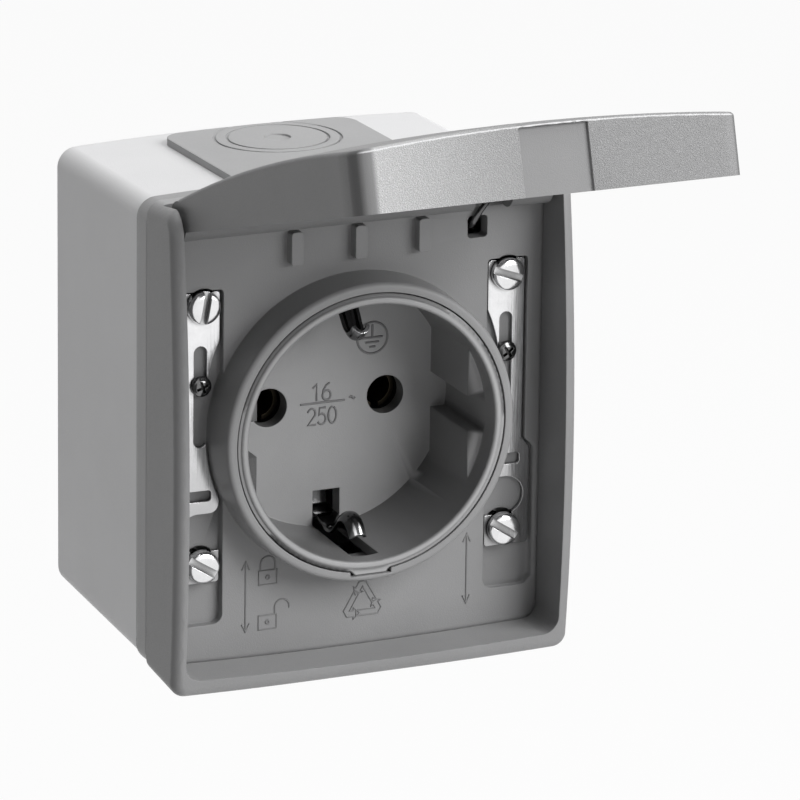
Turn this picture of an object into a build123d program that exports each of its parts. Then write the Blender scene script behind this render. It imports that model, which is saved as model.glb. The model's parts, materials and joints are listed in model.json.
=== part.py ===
from build123d import *
import os
from math import cos, radians, sin

os.makedirs("parts", exist_ok=True)

# X runs to the right seen from the front, Z up and Y into the wall.
# Depths are measured out from the wall, which is the plane Y = 0.

# Gaps and fits
part_gap = 0.3
seat_gap = 0.02
slide_gap = 0.05
pin_gap = 0.05
screw_gap = 0.05
overcut = 1.0

# Back box, which widens slightly towards its front
box_flare = 0.25
box_top_back = 35.3
box_top_front = 36.2
box_bottom_back = 35.3
box_bottom_front = 36.7
box_depth = 33.2
box_wall = 2.0
box_floor = 2.4
box_corner = 3.0
edge_bow = 0.8

# Socket
socket_height = 0.8
recess_radius = 19.8
recess_draft = 0.3
recess_depth = 17.4
recess_floor = 2.5
insert_stand = 0.3
insert_wall = 1.2
insert_gap = 0.6
insert_edge = 0.5
cheek_depth = 2.85
cheek_slot = 5.5
cheek_setback = 4.0
pin_spacing = 19.0
pin_hole_radius = 3.0
key_width = 6.0
key_height = 0.4
key_length = 2.0

# Wall fixing slots and cable entry
wall_hole_spacing = 54.0
wall_hole_width = 4.6
wall_hole_length = 7.0
wall_hole_rim = 1.6
wall_hole_rim_height = 1.6
entry_width = 28.6
entry_back = 5.4
entry_corner = 3.0
entry_lip = 1.1
entry_ring_radius = 9.6
entry_ring_step = 1.9
entry_ring_center = 13.0
entry_groove_width = 0.45
entry_groove_depth = 0.35
entry_dimple_radius = 2.0

# Screws that hold the cover, and the columns they stand in
cover_screw_inset = 3.35
cover_screw_upper = 21.1
cover_screw_lower = -18.9
cover_screw_radius = 1.45
cover_screw_head = 2.5
cover_screw_head_height = 1.9
cover_screw_slot = 0.8
cover_screw_slot_depth = 0.9
cover_screw_bite = 9.0
cover_screw_edge = 0.5
column_radius = 3.1
column_gap = 0.6
slot_turns = {"upper_left": 80, "upper_right": -20, "lower_left": -32, "lower_right": -33}

# Insert screws and their columns
insert_screw_offset = 4.0
insert_screw_radius = 1.2
insert_screw_head = 2.4
insert_screw_head_height = 1.6
insert_screw_bite = 9.0
insert_column_radius = 2.8
insert_lug_width = 7.0

# Seal between box and cover
seal_width = 1.2
seal_groove_depth = 0.9

# Cover plate
skirt_overhang = 0.2
skirt_top = 36.4
skirt_bottom = 36.9
skirt_height = 4.1
plate_rise = 5.8
plate_margin = 0.9
plate_thickness = 2.4
plate_top = 34.3
plate_bottom = 34.0
plate_bow = 0.6
plate_corner = 2.3
plate_side_wall = 2.0
collar_wall = 1.7
collar_draft = 0.3
collar_height = 6.4
collar_edge = 0.8
rib_spacing = 10.2
rib_width = 1.9
rib_height = 1.7
rib_top = 31.4
rib_length = 5.1
spring_window_x = 19.4
spring_window_z = 28.8
spring_window_width = 3.2
spring_window_height = 3.4

# Pockets for the lock sliders
pocket_reach = 4.5
pocket_overlap = 2.1
pocket_step = 1.2
pocket_step_z = -5.0
pocket_step_run = 1.6
pocket_top = 23.5
pocket_bottom = -28.2
pocket_depth = 1.4
pocket_pad = 1.2
pocket_pad_margin = 0.5
pocket_corner = 0.6
pocket_lower_corner = 1.6
head_passage_gap = 0.3

# Lock sliders
slider_thickness = 0.8
slider_travel = 5.0
slider_inner_gap = 0.4
slider_outer_gap = 0.3
slider_top = 23.1
slider_foot = 2.8
slider_shank_gap = 0.2
slider_collar_gap = 0.4
slider_tool_slot_z = -8.2
slider_tool_slot_height = 1.7
slider_tool_slot_width = 4.4
slider_tool_slot_inset = 0.6
slider_passage_radius = 2.95
slider_passage_shift = 0.5
slider_passage_corner = 1.5
slider_corner = 0.5

# Small screws that guide the sliders
guide_screw_inset = 3.2
guide_screw_z = 8.9
guide_screw_radius = 0.95
guide_screw_head = 1.55
guide_screw_head_height = 1.1
guide_slot_gap = 0.1
guide_slot_below = 8.5
guide_screw_edge = 0.4

# Frame round the lid
frame_wall = 0.9
frame_overhang = 0.15
frame_flare = 1.3
frame_top_back = 36.9
frame_top_front = 39.0
frame_bottom = 36.9
frame_length = 16.1
frame_bow = 0.6
frame_corner = 2.2
frame_arch_setback = 1.4
frame_arch_top_setback = 4.4
frame_arch_bottom_setback = 3.0
frame_arch_height = -6.0
frame_top_round = 4.5
frame_bottom_round = 2.5
frame_side_round = 1.6
frame_opening_top = 34.6
frame_opening_bottom = 34.3
frame_opening_corner = 2.6
frame_top_length = 4.1

# Lid, drawn in its open place
lid_open_angle = 107.0
hinge_stand = 7.8
hinge_height = 35.2
barrel_radius = 3.0
barrel_clearance = 0.4
lid_side_gap = 0.9
lid_length = 68.9
lid_end_bow = 0.6
lid_corner = 3.2
lid_wall = 1.3
lid_edge = -1.7
lid_rise_hinge = 3.0
lid_rise_middle = 6.6
lid_rise_end = 7.0
lid_middle = 34.0
lid_crown = 1.5
lid_edge_round = 0.7
finger_recess_width = 9.6
finger_recess_depth = 0.5
finger_recess_margin = 0.9
spring_notch_left = 16.8
spring_notch_right = 22.8
trough_below_barrel = 0.3

# Hinge pin and spring
hinge_pin_radius = 1.0
hinge_pin_seat = 1.0
spring_wire = 0.9
spring_radius = 1.75
spring_pitch = 1.05
spring_turns = 3
spring_start = 18.35
spring_hook = 2.4
spring_lid_leg = 6.0
spring_roof = 2.6
spring_notch_run = 7.2

# Contacts
carrier_width = 40.0
carrier_height = 25.0
carrier_back = 8.4
carrier_corner = 2.0
sleeve_bore = 2.45
sleeve_wall = 0.7
sleeve_length = 14.0
sleeve_slit = 1.2
sleeve_seat_gap = 0.4
sleeve_setback = 1.5
tab_width = 5.0
tab_thickness = 0.9
live_tab_setback = 12.7
terminal_size = 6.0
terminal_height = 7.0
terminal_bore = 1.5
terminal_screw_radius = 1.3
terminal_screw_head = 2.2
terminal_screw_height = 1.6
terminal_screw_slot = 0.7
terminal_gap = 0.3
live_terminal_rise = 8.0
live_terminal_setback = 16.2
earth_terminal_drop = 7.6
clip_width = 3.4
clip_thickness = 0.7
clip_wall_gap = 1.9
clip_hump_height = 4.3
clip_hump_setback = 6.5
clip_tip_setback = 1.5
clip_root_rise = 3.4
clip_bend = 2.0
clip_hump_bend = 2.4
strap_gap = 0.4
strap_setback = 1.6
earth_slot_width = 4.4
earth_slot_gap = 0.3
earth_slot_setback = 2.7

# Derived sizes, outwards from the recess
socket_axis = Axis((0, 0, socket_height), (0, -1, 0))
recess_floor_radius = recess_radius - recess_draft
insert_radius = recess_radius + insert_wall
insert_screw_x = insert_radius + insert_screw_offset
cheek_spacing = 2 * (recess_radius - cheek_depth)
collar_bore = insert_radius + insert_gap
collar_radius = collar_bore + collar_wall
collar_front_radius = collar_radius - collar_draft
pocket_inner = collar_radius - pocket_overlap
pocket_outer = collar_radius + pocket_reach
cover_screw_x = pocket_outer - cover_screw_inset
guide_screw_x = pocket_outer - guide_screw_inset
slider_tool_slot_outer = pocket_outer - slider_tool_slot_inset
slider_tool_slot_inner = slider_tool_slot_outer - slider_tool_slot_width
plate_width = 2 * (pocket_outer + pocket_step + plate_margin)
frame_opening_width = plate_width + 2 * part_gap
frame_width_back = frame_opening_width + 2 * frame_wall
frame_width_front = frame_width_back + 2 * frame_flare
skirt_width = frame_width_back - 2 * frame_overhang
box_width_front = skirt_width - 2 * skirt_overhang
box_width_back = box_width_front - 2 * box_flare
lid_width = frame_opening_width - 2 * lid_side_gap
hinge_pin_length = frame_opening_width + 2 * hinge_pin_seat

# Derived depths, outwards from the box
skirt_back = box_depth + part_gap
skirt_front = skirt_back + skirt_height
plate_front = skirt_front + plate_rise
plate_back = plate_front - plate_thickness
rib_front = plate_front + rib_height
collar_front = plate_front + collar_height
insert_front = collar_front + insert_stand
recess_back = insert_front - recess_depth
insert_back = recess_back - recess_floor
frame_back = skirt_front + part_gap
frame_reach = frame_back + frame_length
frame_arch_front = frame_reach - frame_arch_setback
frame_arch_top = frame_reach - frame_arch_top_setback
frame_arch_bottom = frame_reach - frame_arch_bottom_setback
frame_top_front_edge = frame_back + frame_top_length
hinge_depth = frame_back + hinge_stand
pocket_floor = plate_front - pocket_depth
pad_back = plate_back - pocket_pad
slider_back = pocket_floor + slide_gap
slider_front = slider_back + slider_thickness
head_seat = slider_front + slide_gap
column_front = pad_back - column_gap
column_hole_radius = cover_screw_radius + screw_gap

# Derived sizes of the lid, its hinge and the contacts
lid_tilt = lid_open_angle - 90
lid_half = lid_width / 2
barrel_hole = hinge_pin_radius + pin_gap
trough_bottom = hinge_height - barrel_radius - trough_below_barrel
trough_floor = hinge_depth - barrel_radius - barrel_clearance
sleeve_outer = sleeve_bore + sleeve_wall
sleeve_back = insert_back - sleeve_setback - sleeve_length
live_tab_depth = insert_back - live_tab_setback
live_terminal_back = insert_back - live_terminal_setback
strap_depth = insert_back - strap_setback
clip_root_radius = recess_radius - clip_wall_gap
clip_radius = clip_root_radius - clip_hump_height
clip_root_depth = insert_back + clip_root_rise
clip_hump_depth = insert_front - clip_hump_setback
clip_tip_depth = insert_front - clip_tip_setback
earth_slot_inner = clip_radius + earth_slot_gap
earth_slot_front = insert_front - earth_slot_setback
pin_x = pin_spacing / 2


def at_depth(depth):
    """Sketch plane parallel to the wall, with X to the right and Z up."""
    return Plane.XZ.offset(depth)


def at_side(distance):
    """Sketch plane across the X axis, with depth counted along minus x."""
    return Plane.YZ.offset(distance)


def housing_outline(width, top, bottom, bow, corner):
    """Rounded rectangle with its top and bottom edges bowed outwards."""
    half = width / 2
    with BuildSketch() as outline:
        with BuildLine():
            ThreePointArc((-half, top - bow), (0, top), (half, top - bow))
            Line((half, top - bow), (half, bow - bottom))
            ThreePointArc((half, bow - bottom), (0, -bottom), (-half, bow - bottom))
            Line((-half, bow - bottom), (-half, top - bow))
        make_face()
        fillet(outline.vertices(), corner)
    return outline.sketch


def box_outline(depth, inset=0.0, lift=0.0):
    """Outline of the back box at a depth, drawn in by inset, its top raised by lift."""
    share = depth / box_depth
    width = box_width_back + share * (box_width_front - box_width_back)
    top = box_top_back + share * (box_top_front - box_top_back)
    bottom = box_bottom_back + share * (box_bottom_front - box_bottom_back)
    corner = max(box_corner - inset, 0.5)
    return housing_outline(width - 2 * inset, top - inset + lift, bottom - inset, edge_bow, corner)


def box_form(start, end, inset=0.0, lift=0.0):
    """Tapered body between two depths of the back box."""
    with BuildPart() as form:
        with BuildSketch(at_depth(start)):
            add(box_outline(start, inset, lift))
        with BuildSketch(at_depth(end)):
            add(box_outline(end, inset, lift))
        loft()
    return form.part


cover_screw_places = {
    "upper_left": (-cover_screw_x, cover_screw_upper),
    "upper_right": (cover_screw_x, cover_screw_upper),
    "lower_left": (-cover_screw_x, cover_screw_lower),
    "lower_right": (cover_screw_x, cover_screw_lower),
}
insert_screw_places = [(-insert_screw_x, socket_height), (insert_screw_x, socket_height)]
pin_places = [(-pin_x, socket_height), (pin_x, socket_height)]
wall_hole_places = [(0, -wall_hole_spacing / 2), (0, wall_hole_spacing / 2)]

# Back box: a tapered moulding, open at the front
with BuildPart() as back_box:
    add(box_form(0, box_depth))
    add(box_form(box_floor, box_depth, inset=box_wall), mode=Mode.SUBTRACT)
    # Columns for the cover screws, each tied to its side wall by a web
    with BuildSketch(at_depth(box_floor / 2)):
        with Locations(*cover_screw_places.values()):
            Circle(column_radius)
        for x, z in cover_screw_places.values():
            side = 1 if x > 0 else -1
            with Locations((side * (cover_screw_x + box_width_back / 2 - box_wall / 2) / 2, z)):
                Rectangle(box_width_back / 2 - box_wall / 2 - cover_screw_x, box_wall)
    extrude(amount=box_depth - overcut - box_floor / 2)
    with BuildSketch(at_depth(box_depth - overcut)):
        with Locations(*cover_screw_places.values()):
            Circle(column_radius)
    extrude(amount=column_front - box_depth + overcut)
    with BuildSketch(at_depth(box_floor / 2)):
        with Locations(*insert_screw_places):
            Circle(insert_column_radius)
    extrude(amount=insert_back - seat_gap - box_floor / 2)
    # Blind screw holes
    with BuildSketch(at_depth(column_front)):
        with Locations(*cover_screw_places.values()):
            Circle(column_hole_radius)
    extrude(amount=-cover_screw_bite - overcut, mode=Mode.SUBTRACT)
    with BuildSketch(at_depth(insert_back)):
        with Locations(*insert_screw_places):
            Circle(insert_screw_radius + screw_gap)
    extrude(amount=-insert_screw_bite - overcut, mode=Mode.SUBTRACT)
    # Fixing slots with a raised rim inside
    with BuildSketch(at_depth(box_floor / 2)):
        with Locations(*wall_hole_places):
            SlotOverall(wall_hole_length + 2 * wall_hole_rim, wall_hole_width + 2 * wall_hole_rim, 90)
    extrude(amount=box_floor / 2 + wall_hole_rim_height)
    with BuildSketch(at_depth(-overcut)):
        with Locations(*wall_hole_places):
            SlotOverall(wall_hole_length, wall_hole_width, 90)
    extrude(amount=box_floor + wall_hole_rim_height + 2 * overcut, mode=Mode.SUBTRACT)
    # Notch in the top wall for the cable entry, open at the front
    with BuildSketch(Plane.XY.offset(box_top_back - box_wall - 2 * edge_bow)):
        with Locations((0, -(entry_back + box_depth + overcut) / 2)):
            Rectangle(entry_width, box_depth + overcut - entry_back)
    extrude(amount=box_wall + 5 * edge_bow, mode=Mode.SUBTRACT)
back_box.part.label = "back_box"
export_step(back_box.part, "parts/back_box.step")


def entry_slab(low, high, width, back):
    """Slab that follows the box top, between two heights over its outer face."""
    with BuildPart() as slab:
        with BuildSketch() as plan:
            with Locations((0, -(back + box_depth) / 2)):
                Rectangle(width, box_depth - back)
            fillet(plan.vertices().group_by(Axis.Y)[-1], entry_corner)
        extrude(amount=2 * box_top_front)
        add(box_form(0, box_depth, lift=high), mode=Mode.INTERSECT)
        add(box_form(0, box_depth, lift=low), mode=Mode.SUBTRACT)
    return slab.part


# Cable entry: a soft plug that slides into the notch of the box
entry_outer_width = entry_width + 2 * entry_lip
with BuildPart() as cable_entry:
    add(entry_slab(seat_gap, entry_lip, entry_outer_width, entry_back - entry_lip))
    add(entry_slab(-box_wall - entry_lip, 2 * seat_gap, entry_width - 2 * slide_gap, entry_back + slide_gap))
    # Two concentric grooves and a dimple in the thin skin
    entry_face = Plane.XY.offset(box_top_back + entry_lip + overcut)
    with BuildSketch(entry_face):
        with Locations((0, -entry_ring_center)):
            for ring in range(2):
                radius = entry_ring_radius - ring * entry_ring_step
                Circle(radius + entry_groove_width / 2)
                Circle(radius - entry_groove_width / 2, mode=Mode.SUBTRACT)
            Circle(entry_dimple_radius)
    extrude(amount=-overcut - entry_groove_depth + edge_bow / 2, mode=Mode.SUBTRACT)
cable_entry.part.label = "cable_entry"
export_step(cable_entry.part, "parts/cable_entry.step")

# Seal between the box rim and the cover
seal_inset = (box_wall - seal_width) / 2
with BuildPart() as box_seal:
    with BuildSketch(at_depth(box_depth)):
        add(box_outline(box_depth, seal_inset))
        add(box_outline(box_depth, seal_inset + seal_width), mode=Mode.SUBTRACT)
    extrude(amount=part_gap + seal_groove_depth)
box_seal.part.label = "box_seal"
export_step(box_seal.part, "parts/box_seal.step")


def pocket_outline(margin=0.0, side=1):
    """Outline of a slider pocket, grown by a margin."""
    upper = pocket_outer + margin
    lower = upper + pocket_step
    step_z = pocket_step_z
    points = [
        (pocket_inner - margin, pocket_top + margin),
        (upper, pocket_top + margin),
        (upper, step_z),
        (lower, step_z - pocket_step_run),
        (lower, pocket_bottom - margin),
        (pocket_inner - margin, pocket_bottom - margin),
    ]
    with BuildSketch() as outline:
        with BuildLine():
            Polyline(*[(side * x, z) for x, z in points], close=True)
        make_face()
        bottom = outline.vertices().group_by(Axis.Y)[0]
        fillet(bottom, pocket_lower_corner)
        fillet(outline.vertices().group_by(Axis.Y)[-1], pocket_corner)
    return outline.sketch


# Cover plate: skirt, raised plate, collar, pockets and ribs in one moulding
collar_plane = Plane(origin=(0, 0, socket_height), x_dir=(1, 0, 0), z_dir=(0, 0, -1))
with BuildPart() as cover_plate:
    with BuildSketch(at_depth(skirt_back)):
        add(housing_outline(skirt_width, skirt_top, skirt_bottom, edge_bow, box_corner))
    extrude(amount=skirt_height)
    with BuildSketch(at_depth(skirt_back)):
        add(housing_outline(plate_width, plate_top, plate_bottom, plate_bow, plate_corner))
    extrude(amount=plate_front - skirt_back)
    with BuildSketch(at_depth(skirt_back)):
        add(housing_outline(plate_width - 2 * plate_side_wall, plate_top - plate_side_wall,
                            plate_bottom - plate_side_wall, plate_bow, plate_corner))
    extrude(amount=plate_back - skirt_back, mode=Mode.SUBTRACT)
    # Pads behind the pockets, then the pockets
    for side in (-1, 1):
        with BuildSketch(at_depth(pad_back)):
            add(pocket_outline(pocket_pad_margin, side))
        extrude(amount=pocket_pad + overcut)
    # Collar round the socket
    with BuildSketch(collar_plane):
        with BuildLine():
            Polyline((collar_bore - overcut, plate_back), (collar_radius, plate_back),
                     (collar_radius, plate_front), (collar_front_radius, collar_front),
                     (collar_bore - overcut, collar_front), close=True)
        make_face()
    revolve(axis=socket_axis)
    front_edge = cover_plate.edges().filter_by(GeomType.CIRCLE).group_by(Axis.Y)[0].sort_by(SortBy.RADIUS)[-1]
    fillet(front_edge, collar_edge)
    with BuildSketch(at_depth(pad_back)):
        with Locations((0, socket_height)):
            Circle(collar_bore)
    extrude(amount=collar_front - pad_back, mode=Mode.SUBTRACT)
    # Notch for the key of the socket rim
    with BuildSketch(at_depth(insert_front - recess_floor)):
        with Locations((0, socket_height - insert_radius)):
            Rectangle(key_width + 2 * part_gap, 2 * (collar_bore - insert_radius + key_height))
    extrude(amount=recess_floor + overcut, mode=Mode.SUBTRACT)
    for side in (-1, 1):
        with BuildSketch(at_depth(pocket_floor)) as pocket:
            add(pocket_outline(0, side))
            with Locations((0, socket_height)):
                Circle(collar_radius, mode=Mode.SUBTRACT)
        extrude(amount=pocket_depth + overcut, mode=Mode.SUBTRACT)
    # Passages for the heads of the cover screws, and holes for the guide screws
    with BuildSketch(at_depth(pad_back)):
        with Locations(*cover_screw_places.values()):
            Circle(cover_screw_head + head_passage_gap)
        with Locations((-guide_screw_x, guide_screw_z), (guide_screw_x, guide_screw_z)):
            Circle(guide_screw_radius + screw_gap)
    extrude(amount=plate_front - pad_back, mode=Mode.SUBTRACT)
    # Ribs over the socket
    with BuildSketch(at_depth(plate_front - slide_gap)):
        with Locations(*[(turn * rib_spacing, rib_top - rib_length / 2) for turn in (-1, 0, 1)]):
            RectangleRounded(rib_width, rib_length, rib_width / 4)
    extrude(amount=rib_front - plate_front + slide_gap)
    # Window for the leg of the spring
    with BuildSketch(at_depth(plate_back)):
        with Locations((spring_window_x, spring_window_z)):
            RectangleRounded(spring_window_width, spring_window_height, pocket_corner)
    extrude(amount=plate_thickness, mode=Mode.SUBTRACT)
    # Trough that clears the lid's barrel
    with BuildSketch(at_depth(trough_floor)):
        with Locations((0, trough_bottom + plate_top / 2)):
            Rectangle(plate_width + overcut, plate_top)
    extrude(amount=plate_front - trough_floor + overcut, mode=Mode.SUBTRACT)
    # Groove for the seal
    with BuildSketch(at_depth(skirt_back)):
        add(box_outline(box_depth, seal_inset))
        add(box_outline(box_depth, seal_inset + seal_width), mode=Mode.SUBTRACT)
    extrude(amount=seal_groove_depth, mode=Mode.SUBTRACT)
cover_plate.part.label = "cover_plate"
export_step(cover_plate.part, "parts/cover_plate.step")

# Frame that stands round the lid, arched forwards between its ends
frame_slope = (frame_top_front - frame_top_back) / (frame_reach - frame_back)
arch_top = frame_top_back + frame_slope * (frame_arch_top - frame_back) + seat_gap
arch_bottom = -frame_bottom - seat_gap
with BuildPart() as lid_frame:
    with BuildSketch(at_depth(frame_back)):
        add(housing_outline(frame_width_back, frame_top_back, frame_bottom, frame_bow, frame_corner))
    with BuildSketch(at_depth(frame_reach)):
        add(housing_outline(frame_width_front, frame_top_front, frame_bottom, frame_bow, frame_corner))
    loft()
    with BuildSketch(at_side(-frame_width_front / 2 - overcut)) as side_view:
        with BuildLine():
            ThreePointArc((-frame_arch_top, arch_top), (-frame_arch_front, frame_arch_height),
                          (-frame_arch_bottom, arch_bottom))
            Polyline((-frame_arch_bottom, arch_bottom), (overcut - frame_back, arch_bottom),
                     (overcut - frame_back, arch_top - frame_slope * (frame_arch_top - frame_back + overcut)),
                     (-frame_arch_top, arch_top))
        make_face()
        fillet(side_view.vertices().sort_by(Axis.X)[0:2].sort_by(Axis.Y)[-1], frame_top_round)
        fillet(side_view.vertices().sort_by(Axis.Y)[0:2].sort_by(Axis.X)[0], frame_bottom_round)
    extrude(amount=frame_width_front + 2 * overcut, mode=Mode.INTERSECT)
    rim = lid_frame.faces().sort_by(Axis.Y)[0]
    fillet(rim.edges().filter_by(Axis.X, reverse=True), frame_side_round)
    with BuildSketch(at_depth(frame_back - overcut)):
        add(housing_outline(frame_opening_width, frame_opening_top, frame_opening_bottom,
                            plate_bow, frame_opening_corner))
    extrude(amount=frame_reach - frame_back + 2 * overcut, mode=Mode.SUBTRACT)
    # The top wall stops behind the barrel of the lid
    with BuildSketch(at_depth(frame_top_front_edge)):
        with Locations((0, frame_opening_top)):
            Rectangle(frame_opening_width, 4 * barrel_radius)
    extrude(amount=frame_reach - frame_top_front_edge, mode=Mode.SUBTRACT)
    # Blind holes for the hinge pin in the two cheeks
    with BuildSketch(at_side(-hinge_pin_length / 2)):
        with Locations((-hinge_depth, hinge_height)):
            Circle(hinge_pin_radius + seat_gap)
    extrude(amount=hinge_pin_length, mode=Mode.SUBTRACT)
lid_frame.part.label = "lid_frame"
export_step(lid_frame.part, "parts/lid_frame.step")

# Hinge pin, held in the cheeks of the frame
with BuildPart() as hinge_pin:
    with BuildSketch(at_side(-hinge_pin_length / 2)):
        with Locations((-hinge_depth, hinge_height)):
            Circle(hinge_pin_radius)
    extrude(amount=hinge_pin_length)
hinge_pin.part.label = "hinge_pin"
export_step(hinge_pin.part, "parts/hinge_pin.step")

# The lid is drawn on planes that lie with it: x across, y back to the hinge, z outwards
lid_normal = (0, sin(radians(lid_tilt)), cos(radians(lid_tilt)))
lid_plane = Plane(origin=(0, -hinge_depth, hinge_height), x_dir=(1, 0, 0), z_dir=lid_normal)
lid_section = Plane(origin=lid_plane.origin, x_dir=lid_plane.y_dir, z_dir=(1, 0, 0))
crown_radius = (lid_half**2 + lid_crown**2) / (2 * lid_crown)
crown_center = lid_plane.from_local_coords((0, 0, lid_rise_middle + lid_crown - crown_radius))
crown_axis = Axis(crown_center, lid_plane.y_dir)
crown_turn = 7


def lid_plan(inset):
    """Plan of the lid with its bowed free end, drawn in by the inset."""
    half = lid_half - inset
    end = inset - lid_length
    corner_y = end + lid_end_bow
    with BuildSketch() as plan:
        with BuildLine():
            ThreePointArc((-half, corner_y), (0, end), (half, corner_y))
            Polyline((half, corner_y), (half, -inset), (-half, -inset), (-half, corner_y))
        make_face()
        fillet(plan.vertices().sort_by(Axis.Y)[0:2], lid_corner - inset)
    return plan.sketch


def lid_form(inset, base):
    """Lid body crowned both ways, drawn in by the inset, from a base height up."""
    lift = lid_crown - inset
    far = -lid_length - overcut
    low = base - 2 * lid_crown - overcut
    with BuildSketch(lid_section) as side_profile:
        with BuildLine():
            ThreePointArc((overcut, lid_rise_hinge + lift), (-lid_middle, lid_rise_middle + lift),
                          (far, lid_rise_end + lift))
            Polyline((far, lid_rise_end + lift), (far, low), (overcut, low), (overcut, lid_rise_hinge + lift))
        make_face()
    with BuildPart() as form:
        turned_profile = side_profile.sketch.rotate(crown_axis, -crown_turn)
        revolve(turned_profile, axis=crown_axis, revolution_arc=2 * crown_turn)
        with BuildSketch(lid_plane.offset(base)):
            add(lid_plan(inset))
        extrude(amount=3 * lid_rise_end, mode=Mode.INTERSECT)
    return form.part


# Lid: a thin crowned shell with a barrel along its hinge end
with BuildPart() as lid:
    add(lid_form(0, lid_edge))
    skin = lid.faces().sort_by(Axis(lid_plane.origin, lid_plane.z_dir))[-1]
    fillet(skin.edges(), lid_edge_round)
    add(lid_form(lid_wall, lid_edge - overcut), mode=Mode.SUBTRACT)
    with BuildSketch(at_side(-lid_half)):
        with Locations((-hinge_depth, hinge_height)):
            Circle(barrel_radius)
    extrude(amount=lid_width)
    with BuildSketch(at_side(-lid_half - overcut)):
        with Locations((-hinge_depth, hinge_height)):
            Circle(barrel_hole)
    extrude(amount=lid_width + 2 * overcut, mode=Mode.SUBTRACT)
    # Gap in the barrel for the coil of the spring
    with BuildSketch(lid_section.offset(spring_notch_left)):
        with Locations((0, spring_roof - 2 * barrel_radius)):
            Rectangle(spring_notch_run, 4 * barrel_radius)
    extrude(amount=spring_notch_right - spring_notch_left, mode=Mode.SUBTRACT)
    # Shallow finger recess in the free end
    with BuildSketch(lid_plane.offset(lid_edge)):
        with Locations((0, finger_recess_depth - lid_length - lid_wall)):
            Rectangle(finger_recess_width, 2 * lid_wall)
    extrude(amount=lid_rise_end - finger_recess_margin - lid_edge, mode=Mode.SUBTRACT)
lid.part.label = "lid"
export_step(lid.part, "parts/lid.step")

# Torsion spring on the pin: one leg enters the window of the cover, one lies under the lid
coil_turns = spring_turns + (90 - lid_tilt) / 360
coil_plane = Plane(origin=(spring_start, -hinge_depth, hinge_height), x_dir=(0, 1, 0), z_dir=(1, 0, 0))
coil = coil_plane * Helix(spring_pitch, spring_pitch * coil_turns, spring_radius)
coil_start = coil @ 0
window_corner = Vector(spring_start, coil_start.Y, spring_window_z - spring_window_height / 2 + spring_wire)
hook_end = window_corner + Vector(0, spring_hook, 0)
window_leg = FilletPolyline(coil_start, window_corner, hook_end, radius=spring_wire)
lid_leg = Line(coil @ 1, coil @ 1 + (coil % 1) * spring_lid_leg)
with BuildPart() as lid_spring:
    for path in (coil, window_leg, lid_leg):
        with BuildSketch(Plane(origin=path @ 0, z_dir=path % 0)) as wire:
            Circle(spring_wire / 2)
        sweep(sections=wire.sketch, path=path)
    with Locations(coil_start):
        Sphere(spring_wire / 2)
lid_spring.part.label = "lid_spring"
export_step(lid_spring.part, "parts/lid_spring.step")


def slider_outline():
    """Outline of the right lock slider: fork, guide slot, tool slot, head passage and foot."""
    inner = pocket_inner + slider_inner_gap
    outer = pocket_outer - slider_outer_gap
    wide = outer + pocket_step
    bottom = cover_screw_lower - slider_foot
    shank = cover_screw_radius + slider_shank_gap
    guide_slot = guide_screw_radius + guide_slot_gap
    guide_top = guide_screw_z + slider_travel
    guide_bottom = guide_screw_z - guide_slot_below
    passage_x = cover_screw_x + slider_passage_shift
    passage_z = cover_screw_lower + slider_travel
    clearing = collar_radius + slider_collar_gap
    with BuildSketch() as outline:
        with BuildLine():
            Polyline((inner, bottom), (wide, bottom), (wide, pocket_step_z - pocket_step_run),
                     (outer, pocket_step_z), (outer, slider_top), (inner, slider_top), close=True)
        make_face()
        fillet(outline.vertices().group_by(Axis.Y)[0], slider_corner)
        fillet(outline.vertices().group_by(Axis.Y)[-1], slider_corner)
        # The head of the lower screw passes here once the slider is down
        with Locations((passage_x, passage_z)):
            Circle(slider_passage_radius, mode=Mode.SUBTRACT)
        with Locations((passage_x - slider_passage_radius, passage_z)):
            Rectangle(2 * slider_passage_radius, 2 * slider_passage_radius, mode=Mode.SUBTRACT)
        ledge = passage_z + slider_passage_radius
        corners = outline.vertices().filter_by_position(Axis.Y, ledge - seat_gap, ledge + seat_gap)
        fillet(corners.sort_by(Axis.X)[0], slider_passage_corner)
        # The collar is cleared over the whole travel
        with Locations((0, socket_height), (0, socket_height + slider_travel)):
            Circle(clearing, mode=Mode.SUBTRACT)
        with Locations((0, socket_height + slider_travel / 2)):
            Rectangle(2 * clearing, slider_travel, mode=Mode.SUBTRACT)
        with Locations((cover_screw_x, cover_screw_upper + slider_top / 2)):
            Rectangle(2 * shank, slider_top, mode=Mode.SUBTRACT)
        with Locations((cover_screw_x, cover_screw_upper), (cover_screw_x, cover_screw_lower)):
            Circle(shank, mode=Mode.SUBTRACT)
        with Locations((cover_screw_x, cover_screw_lower + slider_travel / 4)):
            Rectangle(2 * shank, slider_travel / 2, mode=Mode.SUBTRACT)
        with Locations((guide_screw_x, (guide_top + guide_bottom) / 2)):
            SlotCenterToCenter(guide_top - guide_bottom, 2 * guide_slot, 90, mode=Mode.SUBTRACT)
        with Locations(((slider_tool_slot_inner + slider_tool_slot_outer) / 2, slider_tool_slot_z)):
            RectangleRounded(slider_tool_slot_outer - slider_tool_slot_inner, slider_tool_slot_height,
                             slider_corner, mode=Mode.SUBTRACT)
    return outline.sketch


# Lock sliders: flat plated sheets that slip under the heads of the cover screws
with BuildPart() as right_lock_slider:
    with BuildSketch(at_depth(slider_back)):
        add(slider_outline())
    extrude(amount=slider_thickness)
with BuildPart() as left_lock_slider:
    add(mirror(right_lock_slider.part, about=Plane.YZ))
for slider, label in ((right_lock_slider, "right_lock_slider"), (left_lock_slider, "left_lock_slider")):
    slider.part.label = label
    export_step(slider.part, f"parts/{label}.step")


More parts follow.
